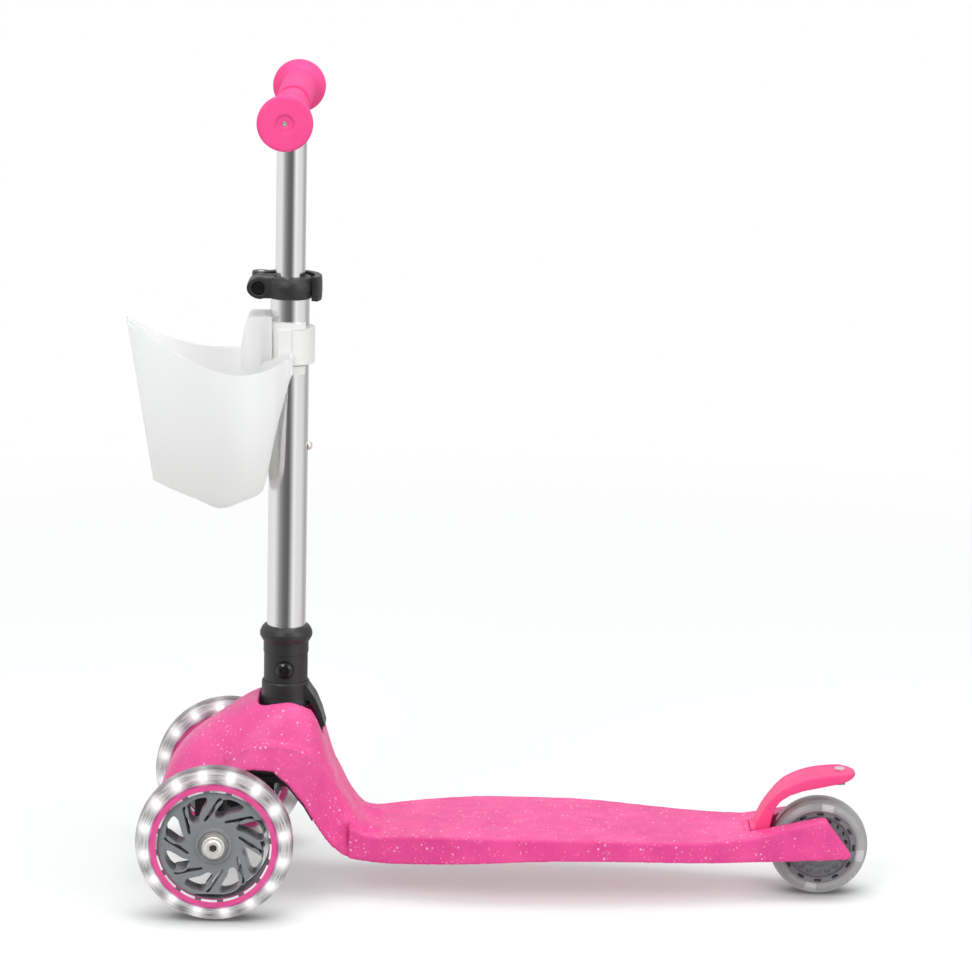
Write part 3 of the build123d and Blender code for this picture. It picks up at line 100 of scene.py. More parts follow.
# ---------------------------------------------------------------- camera and studio
CAMERA_TURN = (-0.117, 12.659, 1.300)           # azimuth, elevation and roll in degrees
CAMERA_SPOT = (-0.19388, 3.05746, 1.0064)       # metres, with x from the front axle
CAMERA_LENS = 151.07                            # millimetres, on a sensor of 36
FLOOR_CLEAR = (0.7, 1.6)                        # metres from the middle: the floor fades out between
# Reach of the contact shadow painted on the floor by ambient occlusion.
SHADOW_REACH = 0.035                            # contact shadow
SOFTBOXES = ((0.0, 0.80), (0.16, 0.42), (0.25, 0.80), (0.34, 0.84), (0.39, 1.0), (0.43, 0.46),
             (0.475, 0.12), (0.55, 0.16), (0.62, 0.34), (0.71, 0.90), (0.79, 0.88))     # turn, grey
MIX_A, MIX_B, MIX_RESULT = 6, 7, 2              # colour sockets of a mix node


# ---------------------------------------------------------------- node helpers
class Shader:
    """Small helper round one material's node tree."""

    def __init__(self, name, base, roughness, metallic=0.0, specular=0.5):
        self.material = bpy.data.materials.new(name)
        self.material.use_nodes = True
        self.tree = self.material.node_tree
        self.bsdf = self.tree.nodes["Principled BSDF"]
        self.set("Base Color", (*base, 1))
        self.set("Roughness", roughness)
        self.set("Metallic", metallic)
        self.set("Specular IOR Level", specular)

    def set(self, socket, value):
        self.bsdf.inputs[socket].default_value = value

    def node(self, kind, **settings):
        made = self.tree.nodes.new(kind)
        for key, value in settings.items():
            setattr(made, key, value)
        return made

    def link(self, source, target):
        self.tree.links.new(source, target)

    def drive(self, source, socket):
        """Link an output to one of the surface's own sockets."""
        self.link(source, self.bsdf.inputs[socket])

    def point(self):
        """Object coordinates, which stay on a piece when it moves."""
        return self.node("ShaderNodeTexCoord").outputs["Object"]

    def coordinates(self):
        """The object coordinates as outputs X, Y and Z."""
        split = self.node("ShaderNodeSeparateXYZ")
        self.link(self.point(), split.inputs[0])
        return split.outputs

    def math(self, operation, a, b=None):
        made = self.node("ShaderNodeMath", operation=operation)
        for socket, value in zip(made.inputs, (a, b)):
            if value is None:
                continue
            if isinstance(value, (int, float)):
                socket.default_value = value
            else:
                self.link(value, socket)
        return made.outputs[0]

    def square(self, value):
        return self.math("MULTIPLY", value, value)

    def noise(self, scale, detail=3.0, stretch=None, source=None):
        made = self.node("ShaderNodeTexNoise")
        made.inputs["Scale"].default_value = scale
        made.inputs["Detail"].default_value = detail
        source = source or self.point()
        if stretch:
            mapping = self.node("ShaderNodeMapping")
            mapping.inputs["Scale"].default_value = stretch
            self.link(source, mapping.inputs["Vector"])
            source = mapping.outputs[0]
        self.link(source, made.inputs["Vector"])
        return made.outputs["Fac"]

    def ramp(self, value, low, high, from_low=0.3, from_high=0.7):
        made = self.node("ShaderNodeMapRange")
        limits = {"From Min": from_low, "From Max": from_high, "To Min": low, "To Max": high}
        for key, number in limits.items():
            made.inputs[key].default_value = number
        self.link(value, made.inputs["Value"])
        return made.outputs[0]

    def mix(self, factor, a, b):
        made = self.node("ShaderNodeMix", data_type="RGBA")
        self.link(factor, made.inputs["Factor"])
        for socket, value in ((made.inputs[MIX_A], a), (made.inputs[MIX_B], b)):
            if isinstance(value, tuple):
                socket.default_value = (*value, 1)
            else:
                self.link(value, socket)
        return made.outputs[MIX_RESULT]

    def clouded(self, scale, dark, light):
        """Colour that drifts between two tones."""
        return self.mix(self.ramp(self.noise(scale), 0.0, 1.0), dark, light)

    def bump(self, height, strength, distance, soft_edge=None):
        made = self.node("ShaderNodeBump")
        made.inputs["Strength"].default_value = strength
        made.inputs["Distance"].default_value = distance
        self.link(height, made.inputs["Height"])
        if soft_edge:
            rounding = self.node("ShaderNodeBevel", samples=4)
            rounding.inputs["Radius"].default_value = soft_edge
            self.link(rounding.outputs[0], made.inputs["Normal"])
        self.link(made.outputs[0], self.bsdf.inputs["Normal"])

    def vary_roughness(self, low, high, scale=60.0):
        self.drive(self.ramp(self.noise(scale), low, high), "Roughness")

    def disc(self, middle=(0.0, 0.0)):
        """Radius and angle about an axle that lies along Y."""
        where = self.coordinates()
        across = self.math("SUBTRACT", where["X"], middle[0])
        up = self.math("SUBTRACT", where["Z"], middle[1])
        radius = self.math("SQRT", self.math("ADD", self.square(across), self.square(up)))
        return radius, self.math("ARCTAN2", up, across)

    def phase(self, angle, count, lead):
        """Distance round the circle from the nearest of equally spaced marks, from -0.5 to 0.5."""
        turns = self.math("SUBTRACT", self.math("MULTIPLY", angle, count / (2 * pi)), lead * count / 360)
        return self.math("SUBTRACT", self.math("FRACT", self.math("ADD", turns, 0.5)), 0.5)

    def blob(self, along, across, size):
        """Soft round spot."""
        far = self.math("ADD", self.square(along), self.square(across))
        return self.math("EXPONENT", self.math("MULTIPLY", far, -1 / size ** 2))


def flakes(shader, scale, size, share):
    """Mask of small glitter flakes: discs in a share of random cells."""
    cells = shader.node("ShaderNodeTexVoronoi", feature="F1")
    cells.inputs["Scale"].default_value = scale
    shader.link(shader.point(), cells.inputs["Vector"])
    split = shader.node("ShaderNodeSeparateColor")
    shader.link(cells.outputs["Color"], split.inputs[0])
    radius = shader.math("MULTIPLY", split.outputs[1], size)
    inside = shader.math("SUBTRACT", radius, cells.outputs["Distance"])
    spot = shader.ramp(inside, 0.0, 1.0, from_low=0.0, from_high=size * 0.35)
    chosen = shader.math("LESS_THAN", split.outputs[0], share)
    return shader.math("MULTIPLY", spot, chosen)


# ---------------------------------------------------------------- materials
def glitter_pink():
    """Moulded pink plastic, slightly cloudy, with a painted sheen that makes it paler above the deck, and
    pale flakes in it.
    """
    shader = Shader("glitter_pink", (0.93, 0.075, 0.33), 0.36, specular=0.35)
    cloud = shader.noise(30.0, 4.0)
    base = shader.mix(shader.ramp(cloud, 0.0, 1.0), (0.77, 0.054, 0.28), (0.94, 0.090, 0.35))
    # Painted sheen: the colour pales upwards between 50 and 100 mm above the floor.
    paler = shader.ramp(shader.coordinates()["Z"], 0.0, 0.045, from_low=50 * MM, from_high=100 * MM)
    base = shader.mix(paler, base, (1.0, 0.62, 0.80))
    small = flakes(shader, 520.0, 0.42, 0.60)
    large = flakes(shader, 250.0, 0.30, 0.70)
    base = shader.mix(shader.math("MULTIPLY", small, 0.42), base, (1.0, 0.45, 0.68))
    base = shader.mix(shader.math("MULTIPLY", large, 0.72), base, (1.0, 0.60, 0.80))
    shader.drive(base, "Base Color")
    shader.vary_roughness(0.32, 0.46, 90.0)
    shader.bump(shader.noise(900.0), 0.10, 0.0003, 0.0022)
    return shader.material


def plain_plastic(name, base, roughness, grain=700.0, grain_depth=0.15, specular=0.5, soft_edge=0.0005):
    """Moulded plastic with a faint grain, an uneven sheen and softened edges."""
    shader = Shader(name, base, roughness, specular=specular)
    darker = tuple(c * 0.93 for c in base)
    shader.drive(shader.clouded(25.0, darker, base), "Base Color")
    shader.vary_roughness(roughness - 0.06, roughness + 0.06)
    shader.bump(shader.noise(grain), grain_depth, 0.0003, soft_edge)
    return shader.material


def grip_rubber():
    """Soft pink rubber; a round sunk panel is moulded in each end face."""
    shader = Shader("grip_rubber", (0.94, 0.078, 0.30), 0.55, specular=0.3)
    radius = shader.disc(middle=(BAR.x, BAR.z))[0]
    panel = shader.ramp(radius, 0.0, 1.0, from_low=6.4 * MM, from_high=7.4 * MM)
    well = shader.ramp(radius, 0.0, 1.0, from_low=2.6 * MM, from_high=3.4 * MM)
    grain = shader.math("MULTIPLY", shader.noise(1100.0), 0.10)
    height = shader.math("ADD", shader.math("ADD", panel, shader.math("MULTIPLY", well, 0.5)), grain)
    shader.drive(shader.clouded(40.0, (0.92, 0.070, 0.285), (0.95, 0.084, 0.31)), "Base Color")
    shader.vary_roughness(0.48, 0.62)
    shader.bump(height, 0.9, 0.0008, 0.0006)
    return shader.material


def brake_plastic():
    """Bright pink plastic with fine ribs across the footplate."""
    shader = Shader("brake_plastic", (0.965, 0.072, 0.265), 0.42, specular=0.35)
    low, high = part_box("brake_lever")
    x = shader.coordinates()["X"]
    rib = shader.math("SINE", shader.math("MULTIPLY", x, 2 * pi / (3.4 * MM)))
    start, end = low.x + 12 * MM, low.x + 36 * MM
    ribbed = shader.math("MULTIPLY", shader.math("GREATER_THAN", x, start), shader.math("LESS_THAN", x, end))
    height = shader.math("MULTIPLY", shader.math("GREATER_THAN", rib, 0.55), ribbed)
    height = shader.math("ADD", height, shader.math("MULTIPLY", shader.noise(700.0), 0.15))
    shader.drive(shader.clouded(30.0, (0.95, 0.062, 0.245), (0.97, 0.078, 0.275)), "Base Color")
    shader.vary_roughness(0.36, 0.48)
    shader.bump(height, 0.5, 0.0004, 0.0016)
    return shader.material


def satin_tube():
    """Anodised tube: fine draw lines and a soft reflection."""
    shader = Shader("satin_tube", (0.86, 0.86, 0.86), 0.16, metallic=1.0)
    lines = shader.noise(700.0, 2.0, stretch=(1.0, 1.0, 0.01))
    shader.drive(shader.ramp(lines, 0.13, 0.19), "Roughness")
    shader.bump(lines, 0.02, 0.0001)
    return shader.material


def plated_steel(name, base, roughness, metallic=1.0):
    """Plated steel with a slightly cloudy polish."""
    shader = Shader(name, base, roughness, metallic=metallic)
    shader.vary_roughness(roughness - 0.07, roughness + 0.07, 200.0)
    shader.bump(shader.noise(500.0), 0.05, 0.0001, 0.0003)
    return shader.material


def frosted():
    """Frosted translucent polypropylene, with painted shade that makes it a little darker at its foot."""
    shader = Shader("frosted", (0.93, 0.945, 0.94), 0.5, specular=0.25)
    shader.set("Transmission Weight", 0.42)
    shader.set("IOR", 1.12)
    low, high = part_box("basket")
    # Painted shade: the wall is darker towards its foot, with a faint random cloudiness mixed in.
    level = shader.ramp(shader.coordinates()["Z"], 0.0, 1.0, from_low=low.z, from_high=low.z + 0.07)
    cloudy = shader.math("ADD", level, shader.ramp(shader.noise(9.0), -0.1, 0.1))
    shader.drive(shader.mix(cloudy, (0.91, 0.91, 0.90), (0.985, 0.995, 0.99)), "Base Color")
    shader.vary_roughness(0.42, 0.58, 120.0)
    shader.bump(shader.noise(1200.0), 0.08, 0.0003, 0.0008)
    return shader.material


def clear_tyre():
    """Cast polyurethane: streaks round the tyre and a glow at each light."""
    shader = Shader("clear_tyre", (0.80, 0.81, 0.82), 0.12)
    shader.set("Transmission Weight", 0.35)
    shader.set("IOR", 1.4)
    radius, angle = shader.disc()
    phase = shader.phase(angle, LIGHTS, LIGHT_LEAD)
    along = shader.math("MULTIPLY", phase, 2 * pi / LIGHTS * LIGHT_R)
    across = shader.math("SUBTRACT", radius, LIGHT_R)
    halo = shader.blob(along, shader.math("MULTIPLY", across, 0.6), 7.2 * MM)
    glow = shader.blob(along, shader.math("MULTIPLY", across, 0.8), 4.6 * MM)
    place = shader.node("ShaderNodeCombineXYZ")
    shader.link(shader.math("SINE", angle), place.inputs[0])
    shader.link(shader.math("COSINE", angle), place.inputs[1])
    shader.link(shader.math("MULTIPLY", radius, 260.0), place.inputs[2])
    streak = shader.ramp(shader.noise(3.2, 2.0, source=place.outputs[0]), 0.0, 1.0, 0.42, 0.58)
    between = shader.mix(streak, (0.24, 0.245, 0.255), (0.70, 0.71, 0.715))
    base = shader.mix(halo, between, (0.93, 0.93, 0.93))
    rim = shader.ramp(radius, 0.0, 0.75, from_low=58.4 * MM, from_high=59.6 * MM)
    foot = shader.ramp(radius, 0.6, 0.0, from_low=49.2 * MM, from_high=50.0 * MM)
    base = shader.mix(shader.math("MAXIMUM", rim, foot), base, (0.13, 0.13, 0.14))
    base = shader.mix(shader.math("LESS_THAN", radius, 49.1 * MM), base, (0.72, 0.085, 0.34))
    shader.drive(base, "Base Color")
    shader.drive(shader.math("MULTIPLY", glow, 0.28), "Emission Strength")
    shader.set("Emission Color", (1, 1, 1, 1))
    return shader.material


def smoke_tyre():
    """Smoke grey polyurethane with four pale blocks cast into it."""
    shader = Shader("smoke_tyre", (0.34, 0.345, 0.35), 0.2)
    shader.set("Transmission Weight", 0.25)
    shader.set("IOR", 1.4)
    radius, angle = shader.disc()
    along = shader.math("MULTIPLY", shader.phase(angle, BLOCKS, 10.0), 2 * pi / BLOCKS * 32 * MM)
    across = shader.math("SUBTRACT", radius, BLOCK_R)
    far_along = shader.math("DIVIDE", shader.math("ABSOLUTE", along), 4.6 * MM)
    far_across = shader.math("DIVIDE", shader.math("ABSOLUTE", across), 3.3 * MM)
    edge = shader.math("MAXIMUM", far_along, far_across)
    block = shader.ramp(edge, 0.85, 0.0, from_low=0.85, from_high=1.05)
    base = shader.clouded(35.0, (0.40, 0.41, 0.415), (0.54, 0.545, 0.55))
    shader.drive(shader.mix(block, base, (0.82, 0.82, 0.82)), "Base Color")
    shader.vary_roughness(0.16, 0.28, 70.0)
    return shader.material


def ring_plastic():
    """Pink ring with a broken white line at its inner edge."""
    shader = Shader("ring_plastic", (0.72, 0.085, 0.34), 0.4, specular=0.3)
    radius, angle = shader.disc()
    dash = shader.math("LESS_THAN", shader.math("ABSOLUTE", shader.phase(angle, 16, 4.0)), 0.36)
    bright = shader.math("MULTIPLY", dash, shader.ramp(shader.noise(26.0), 0.15, 1.0, 0.42, 0.56))
    inner = shader.mix(bright, (0.13, 0.13, 0.14), (0.86, 0.86, 0.86))
    pink = shader.clouded(60.0, (0.76, 0.078, 0.29), (0.84, 0.100, 0.335))
    base = shader.mix(shader.math("LESS_THAN", radius, RINGED_R), pink, inner)
    shader.drive(base, "Base Color")
    shader.vary_roughness(0.34, 0.46)
    return shader.material


def lamp_white():
    """Lit block inside the tyre."""
    shader = Shader("lamp_white", (0.95, 0.95, 0.95), 0.3)
    shader.set("Emission Color", (1, 1, 1, 1))
    shader.set("Emission Strength", 0.8)
    shader.vary_roughness(0.25, 0.35)
    return shader.material


MATERIALS = {
    "body_pink": glitter_pink(),
    "black_plastic": plain_plastic("black_plastic", (0.026, 0.026, 0.027), 0.42),
    "tube_satin": satin_tube(),
    "steel": plated_steel("steel", (0.86, 0.85, 0.82), 0.40),
    "spring_steel": plated_steel("spring_steel", (0.42, 0.42, 0.43), 0.35),
    "grip_pink": grip_rubber(),
    "brake_pink": brake_plastic(),
    "frosted": frosted(),
    "clip_white": plain_plastic("clip_white", (0.90, 0.91, 0.89), 0.38, specular=0.35),
    "tyre_clear": clear_tyre(),
    "tyre_smoke": smoke_tyre(),
    "core_grey": plain_plastic("core_grey", (0.245, 0.26, 0.275), 0.30),
    "ring_pink": ring_plastic(),
    "light_white": lamp_white(),
}
BRIGHT_STEEL = plated_steel("bright_steel", (0.93, 0.92, 0.88), 0.32, metallic=0.5)
DARK_SOCKET = plated_steel("dark_socket", (0.10, 0.085, 0.07), 0.35, metallic=0.5)
# Gloss black: the release button's own colour, and painted shade on the metal clamp bolt that sits in a dark
# recess.
GLOSS_BLACK_AND_BOLT_SHADE = plain_plastic("gloss_black_and_bolt_shade", (0.008, 0.008, 0.009), 0.14, grain_depth=0.03)


def dress_cad_nodes():
    """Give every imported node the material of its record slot."""
    for node, thing in frame["nodes"].items():
        thing.data.materials.clear()
        thing.data.materials.append(MATERIALS[SLOT_OF[node]])
    # The clamp bolt takes the gloss black as painted shade of the recess it sits in.
    for node in ("release_button", "clamp_bolt"):
        frame["nodes"][node].data.materials[0] = GLOSS_BLACK_AND_BOLT_SHADE


# ---------------------------------------------------------------- pieces
def in_scene(name, data):
    """New object in the scene."""
    made = bpy.data.objects.new(name, data)
    bpy.context.scene.collection.objects.link(made)
    return made


def place(name, mesh, node, replace=True, origin=(0, 0, 0)):
    """Make a piece that rides with a CAD node and takes its finish."""
    piece = in_scene(name, mesh)
    piece.location = origin
    mesh.materials.clear()
    mesh.materials.append(MATERIALS[SLOT_OF[node]])
    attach(piece, BODY_OF[node])
    if replace:
        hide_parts(node)
    return piece


def baked(piece, *modifiers):
    """Mesh of a piece after modifiers given as (kind, settings)."""
    for kind, settings in modifiers:
        modifier = piece.modifiers.new(kind.lower(), kind)
        for key, value in settings.items():
            setattr(modifier, key, value)
    depsgraph = bpy.context.evaluated_depsgraph_get()
    mesh = bpy.data.meshes.new_from_object(piece.evaluated_get(depsgraph))
    bpy.data.objects.remove(piece)
    return mesh


def remoulded(node, voxel, rounds=0, keep=0.5, source=None, passes=()):
    """Soft-edged mesh made from a CAD node: remeshed, relaxed and thinned out again.

    All points relax for a number of rounds. Passes take the place of that: each is (softness, rounds),
    where softness says how far a point may relax, from 0 to 1.
    """
    blank = in_scene("blank", source or frame["nodes"][node].data.copy())
    mesh = baked(blank, ("REMESH", {"mode": "VOXEL", "voxel_size": voxel, "use_smooth_shade": True}))
    blank = in_scene("blank", mesh)
    steps = [] if passes else [("SMOOTH", {"factor": 0.5, "iterations": rounds})]
    for softness, times in passes:
        group = blank.vertex_groups.new(name=softness.__name__)
        for vertex in mesh.vertices:
            share = softness(vertex.co)
            if share > 0:
                group.add([vertex.index], share, "REPLACE")
        steps.append(("SMOOTH", {"factor": 0.5, "iterations": times, "vertex_group": group.name}))
    mesh = baked(blank, *steps, ("DECIMATE", {"ratio": keep}))
    mesh.shade_smooth()
    return mesh


def filled(node, *places):
    """CAD mesh joined with the hull of its points in each place, a test of a point."""
    mesh = frame["nodes"][node].data
    both = bmesh.new()
    both.from_mesh(mesh)
    for inside in places:
        block = bmesh.new()
        for vertex in mesh.vertices:
            if inside(vertex.co):
                block.verts.new(vertex.co)
        hull = bmesh.ops.convex_hull(block, input=block.verts)
        bmesh.ops.delete(block, geom=hull["geom_interior"], context="VERTS")
        shape = bpy.data.meshes.new("hull")
        block.to_mesh(shape)
        block.free()
        both.from_mesh(shape)
    joined = bpy.data.meshes.new("filled")
    both.to_mesh(joined)
    both.free()
    return joined


def at_seam(side):
    """Test for the deck's wall where the arch band ends, on the left (1) or the right (-1)."""
    x = AXLE["left"].x - SEAM_BACK

    def inside(point):
        in_wall = point.y * side > 34 * MM and point.z < 52 * MM
        return in_wall and abs(point.x - x) < SEAM_HALF

    return inside


def deck_softness(point):
    """The deck and its rise relax; the thin walls round the column hardly do."""
    near = Vector((point.x - COLUMN_X, point.y, 0)).length
    return 0.12 if near < STIFF_REACH and point.z > STIFF_LOW_Z else 1.0


def seam_softness(point):
    """The side walls relax further near the end of the arch band."""
    away = abs(point.x - AXLE["left"].x + BAND_END_BACK)
    return max(0.0, 1 - away / SEAM_FADE) if abs(point.y) > 30 * MM else 0.0


def eased(height, share):
    """Height at a share of the way up a slope with a soft foot and a soft top."""
    return height * share * share * (3 - 2 * share)


def raised_band(mesh):
    """Lift the band along the wheel arch, with a rounded ridge along its upper edge."""
    edge = [Vector((AXLE["left"].x + x * MM, z * MM)) for x, z in ARCH_EDGE]
    normals = [vertex.normal.copy() for vertex in mesh.vertices]
    for vertex, out in zip(mesh.vertices, normals):
        spot = Vector((vertex.co.x, vertex.co.z))
        faces_out = out.y * vertex.co.y > 0
        if not (edge[-1].x < spot.x < edge[0].x and spot.y > BAND_LOW_Z and faces_out):
            continue
        depth = None
        for a, b in zip(edge, edge[1:]):
            along = b - a
            share = min(max((spot - a).dot(along) / along.length_squared, 0.0), 1.0)
            gap = spot - a - along * share
            if depth is None or gap.length < abs(depth):
                depth = gap.length if along.x * gap.y - along.y * gap.x > 0 else -gap.length
        step = min(max(depth / BAND_SLOPE + 0.5, 0.0), 1.0)
        ridge = max(0.0, 1 - abs(depth - RIDGE_DEPTH) / RIDGE_HALF)
        ends = min(1.0, (edge[0].x - spot.x) / BAND_FADES[0], (spot.x - edge[-1].x) / BAND_FADES[1])
        rise = eased(BAND_RISE, step) + eased(RIDGE_RISE, ridge)
        vertex.co += out * rise * ends * MM * abs(out.y)
    return mesh


def bulged(mesh, node, swell):
    """Swell the walls of a ring about the column at its middle height and draw them in at its ends."""
    low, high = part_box(node)
    middle, half = (low.z + high.z) / 2, (high.z - low.z) / 2
    for vertex in mesh.vertices:
        out = Vector((vertex.co.x - COLUMN_X, vertex.co.y, 0))
        if out.length > RING_BORE:
            share = min((out.length - RING_BORE) / (2 * MM), 1)
            level = max(0.0, 1 - ((vertex.co.z - middle) / half) ** 2)
            vertex.co += out.normalized() * swell * share * (level - 0.35)
    return mesh


def slot_lip():
    """Web that closes the deck's slot up to the foot brake's root."""
    length, width, height = 4.2, 32, 4
    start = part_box("brake_lever")[1].x + 0.3 * MM
    points = [vertex.co for vertex in frame["nodes"]["deck_body"].data.vertices]
    top = max(p.z for p in points if abs(p.x - start - 3.2 * MM) < 1.5 * MM and abs(p.y) < 17 * MM)
    web = bmesh.new()
    bmesh.ops.create_cube(web, size=1.0)
    for vertex in web.verts:
        x = start + (vertex.co.x + 0.5) * length * MM
        z = top + (vertex.co.z - 0.55) * height * MM
        vertex.co = (x, vertex.co.y * width * MM, z)
    mesh = bpy.data.meshes.new("web")
    web.to_mesh(mesh)
    web.free()
    place("deck_slot_web", mesh, "deck_body", replace=False)


def about_axle(node, side):
    """Copy of a wheel part in coordinates about its own axle, so that its pattern turns with it."""
    mesh = frame["nodes"][node].data.copy()
    mesh.transform(Matrix.Translation(-AXLE[side]))
    return place(f"{node}_cast", mesh, node, origin=AXLE[side])


def polar(r, degrees):
    return Vector((r * cos(radians(degrees)), r * sin(radians(degrees)), 0))


def add_loop(curve, points, smooth=True):
    """Closed outline in a filled curve."""
    spline = curve.splines.new("BEZIER")
    spline.bezier_points.add(len(points) - 1)
    spline.use_cyclic_u = True
    for knot, point in zip(spline.bezier_points, points):
        knot.co = point
        knot.handle_left_type = knot.handle_right_type = "AUTO" if smooth else "VECTOR"


def slot_outline(start, end, half):
    """Slot with a round outer end that narrows to its start."""
    along = (end - start).normalized()
    across = Vector((-along.y, along.x, 0)) * half
    round_end = [end + across * cos(pi * i / 8) + along * half * sin(pi * i / 8) for i in range(9)]
    return [start - along * half * 0.4, start + across * 0.55] + round_end + [start - across * 0.55]


def outward(side):
    """Turn from a wheel face drawn in X and Y to its place on one side of the scooter."""
    sign = SIDE_SIGN[side]
    return Matrix(((-sign, 0, 0), (0, 0, sign), (0, 1, 0))).to_4x4()


def swirl_core(side):
    """Front wheel core: a rim, a hub and eight spokes, each split by a slot, round D-shaped windows."""
    node = f"{side}_core"
    low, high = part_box(node)
    rim = (high.x - low.x) / 2
    curve = bpy.data.curves.new("core_face", "CURVE")
    curve.dimensions = "2D"
    curve.fill_mode = "BOTH"
    curve.resolution_u = 8
    curve.bevel_depth = FACE_ROUND
    curve.bevel_resolution = 3
    curve.offset = -FACE_ROUND
    curve.extrude = FACE_HALF_W
    add_loop(curve, [polar(rim, 7.5 * i) for i in range(48)])
    add_loop(curve, [polar(HUB_HOLE_R, 15 * i) for i in range(24)])
    for i in range(SPOKES):
        turn = -i * 360 / SPOKES
        add_loop(curve, [polar(r * MM, turn + angle) for r, angle in WINDOW])
        start, end = (polar(r * MM, turn + angle) for r, angle in (SLOT_START, SLOT_END))
        add_loop(curve, slot_outline(start, end, SLOT_HALF), smooth=False)
    mesh = baked(in_scene("blank", curve))
    mesh.transform(outward(side))
    mesh.shade_smooth()
    mesh.set_sharp_from_angle(angle=radians(50))
    place(f"{node}_face", mesh, node, origin=AXLE[side])
    hub = lathe(HUB, closed=True)
    hub.transform(outward(side))
    place(f"{node}_hub", hub, node, replace=False, origin=AXLE[side])


def lathe(profile, closed=False, hexagon=None):
    """Turned mesh about Z from (radius, height) in millimetres; radii up to hexagon are six-sided."""
    made = bmesh.new()
    rings = []
    for r, height in profile:
        ring = []
        for i in range(LATHE_STEPS):
            angle = 2 * pi * i / LATHE_STEPS
            reach = r
            if hexagon and r <= hexagon:
                reach = r * cos(pi / 6) / cos((angle + pi / 6) % (pi / 3) - pi / 6)
            ring.append(made.verts.new((reach * MM * cos(angle), reach * MM * sin(angle), height * MM)))
        rings.append(ring)
    pairs = list(zip(rings, rings[1:]))
    if closed:
        pairs.append((rings[-1], rings[0]))
    for lower, upper in pairs:
        for i in range(LATHE_STEPS):
            j = (i + 1) % LATHE_STEPS
            made.faces.new((lower[i], lower[j], upper[j], upper[i]))
    if not closed:
        made.faces.new(rings[-1])
        made.faces.new(rings[0])
    bmesh.ops.recalc_face_normals(made, faces=made.faces)
    mesh = bpy.data.meshes.new("turned")
    made.to_mesh(mesh)
    made.free()
    mesh.shade_smooth()
    mesh.set_sharp_from_angle(angle=radians(35))
    return mesh


def bolt_cap(side):
    """Ringed, polished cap on the head of a front axle bolt, with a dark hexagon socket."""
    node = f"{side}_axle_bolt"
    low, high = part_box(node)
    face = max(abs(low.y), abs(high.y))
    mesh = lathe(CAP, hexagon=HEXAGON_R)
    mesh.transform(outward(side))
    spot = (AXLE[side].x, SIDE_SIGN[side] * face, AXLE[side].z)
    cap = place(f"{node}_cap", mesh, node, replace=False, origin=spot)
    cap.data.materials[0] = BRIGHT_STEEL
    socket = lathe([(3.3, 0.0), (3.3, 0.3), (1.2, 0.3), (0.9, 0.1)], hexagon=HEXAGON_R)
    socket.transform(outward(side))
    bottom = place(f"{node}_socket", socket, node, replace=False, origin=spot)
    bottom.data.materials[0] = DARK_SOCKET


def grip_plug(side):
    """Steel end of the bar, seen at the bottom of the hole in a grip's end."""
    node = f"{side}_grip"
    low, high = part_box(node)
    end = max(abs(low.y), abs(high.y)) - 1.2 * MM
    mesh = lathe([(2.6, -1.6), (2.6, -0.1), (2.2, 0.1), (0.9, 0.15), (0.6, -0.3)])
    mesh.transform(outward(side))
    spot = (BAR.x, SIDE_SIGN[side] * end, BAR.z)
    piece = place(f"{node}_plug", mesh, node, replace=False, origin=spot)
    piece.data.materials[0] = MATERIALS["steel"]


# ---------------------------------------------------------------- studio
def camera():
    """Camera at the photograph's viewing angle, as fitted to it."""
    azimuth, elevation, roll = (radians(degrees) for degrees in CAMERA_TURN)
    forward = Vector((sin(azimuth) * cos(elevation), -cos(azimuth) * cos(elevation), -sin(elevation)))
    level = forward.cross(Vector((0, 0, 1))).normalized()
    upright = level.cross(forward)
    right = cos(roll) * level + sin(roll) * upright
    up = cos(roll) * upright - sin(roll) * level
    data = bpy.data.cameras.new("camera")
    data.sensor_width = 36.0
    data.lens = CAMERA_LENS
    data.clip_end = 50.0
    eye = in_scene("camera", data)
    turn = Matrix((right, up, -forward)).transposed().to_4x4()
    x, y, z = CAMERA_SPOT
    eye.matrix_world = Matrix.Translation((AXLE["left"].x + x, y, z)) @ turn
    bpy.context.scene.camera = eye


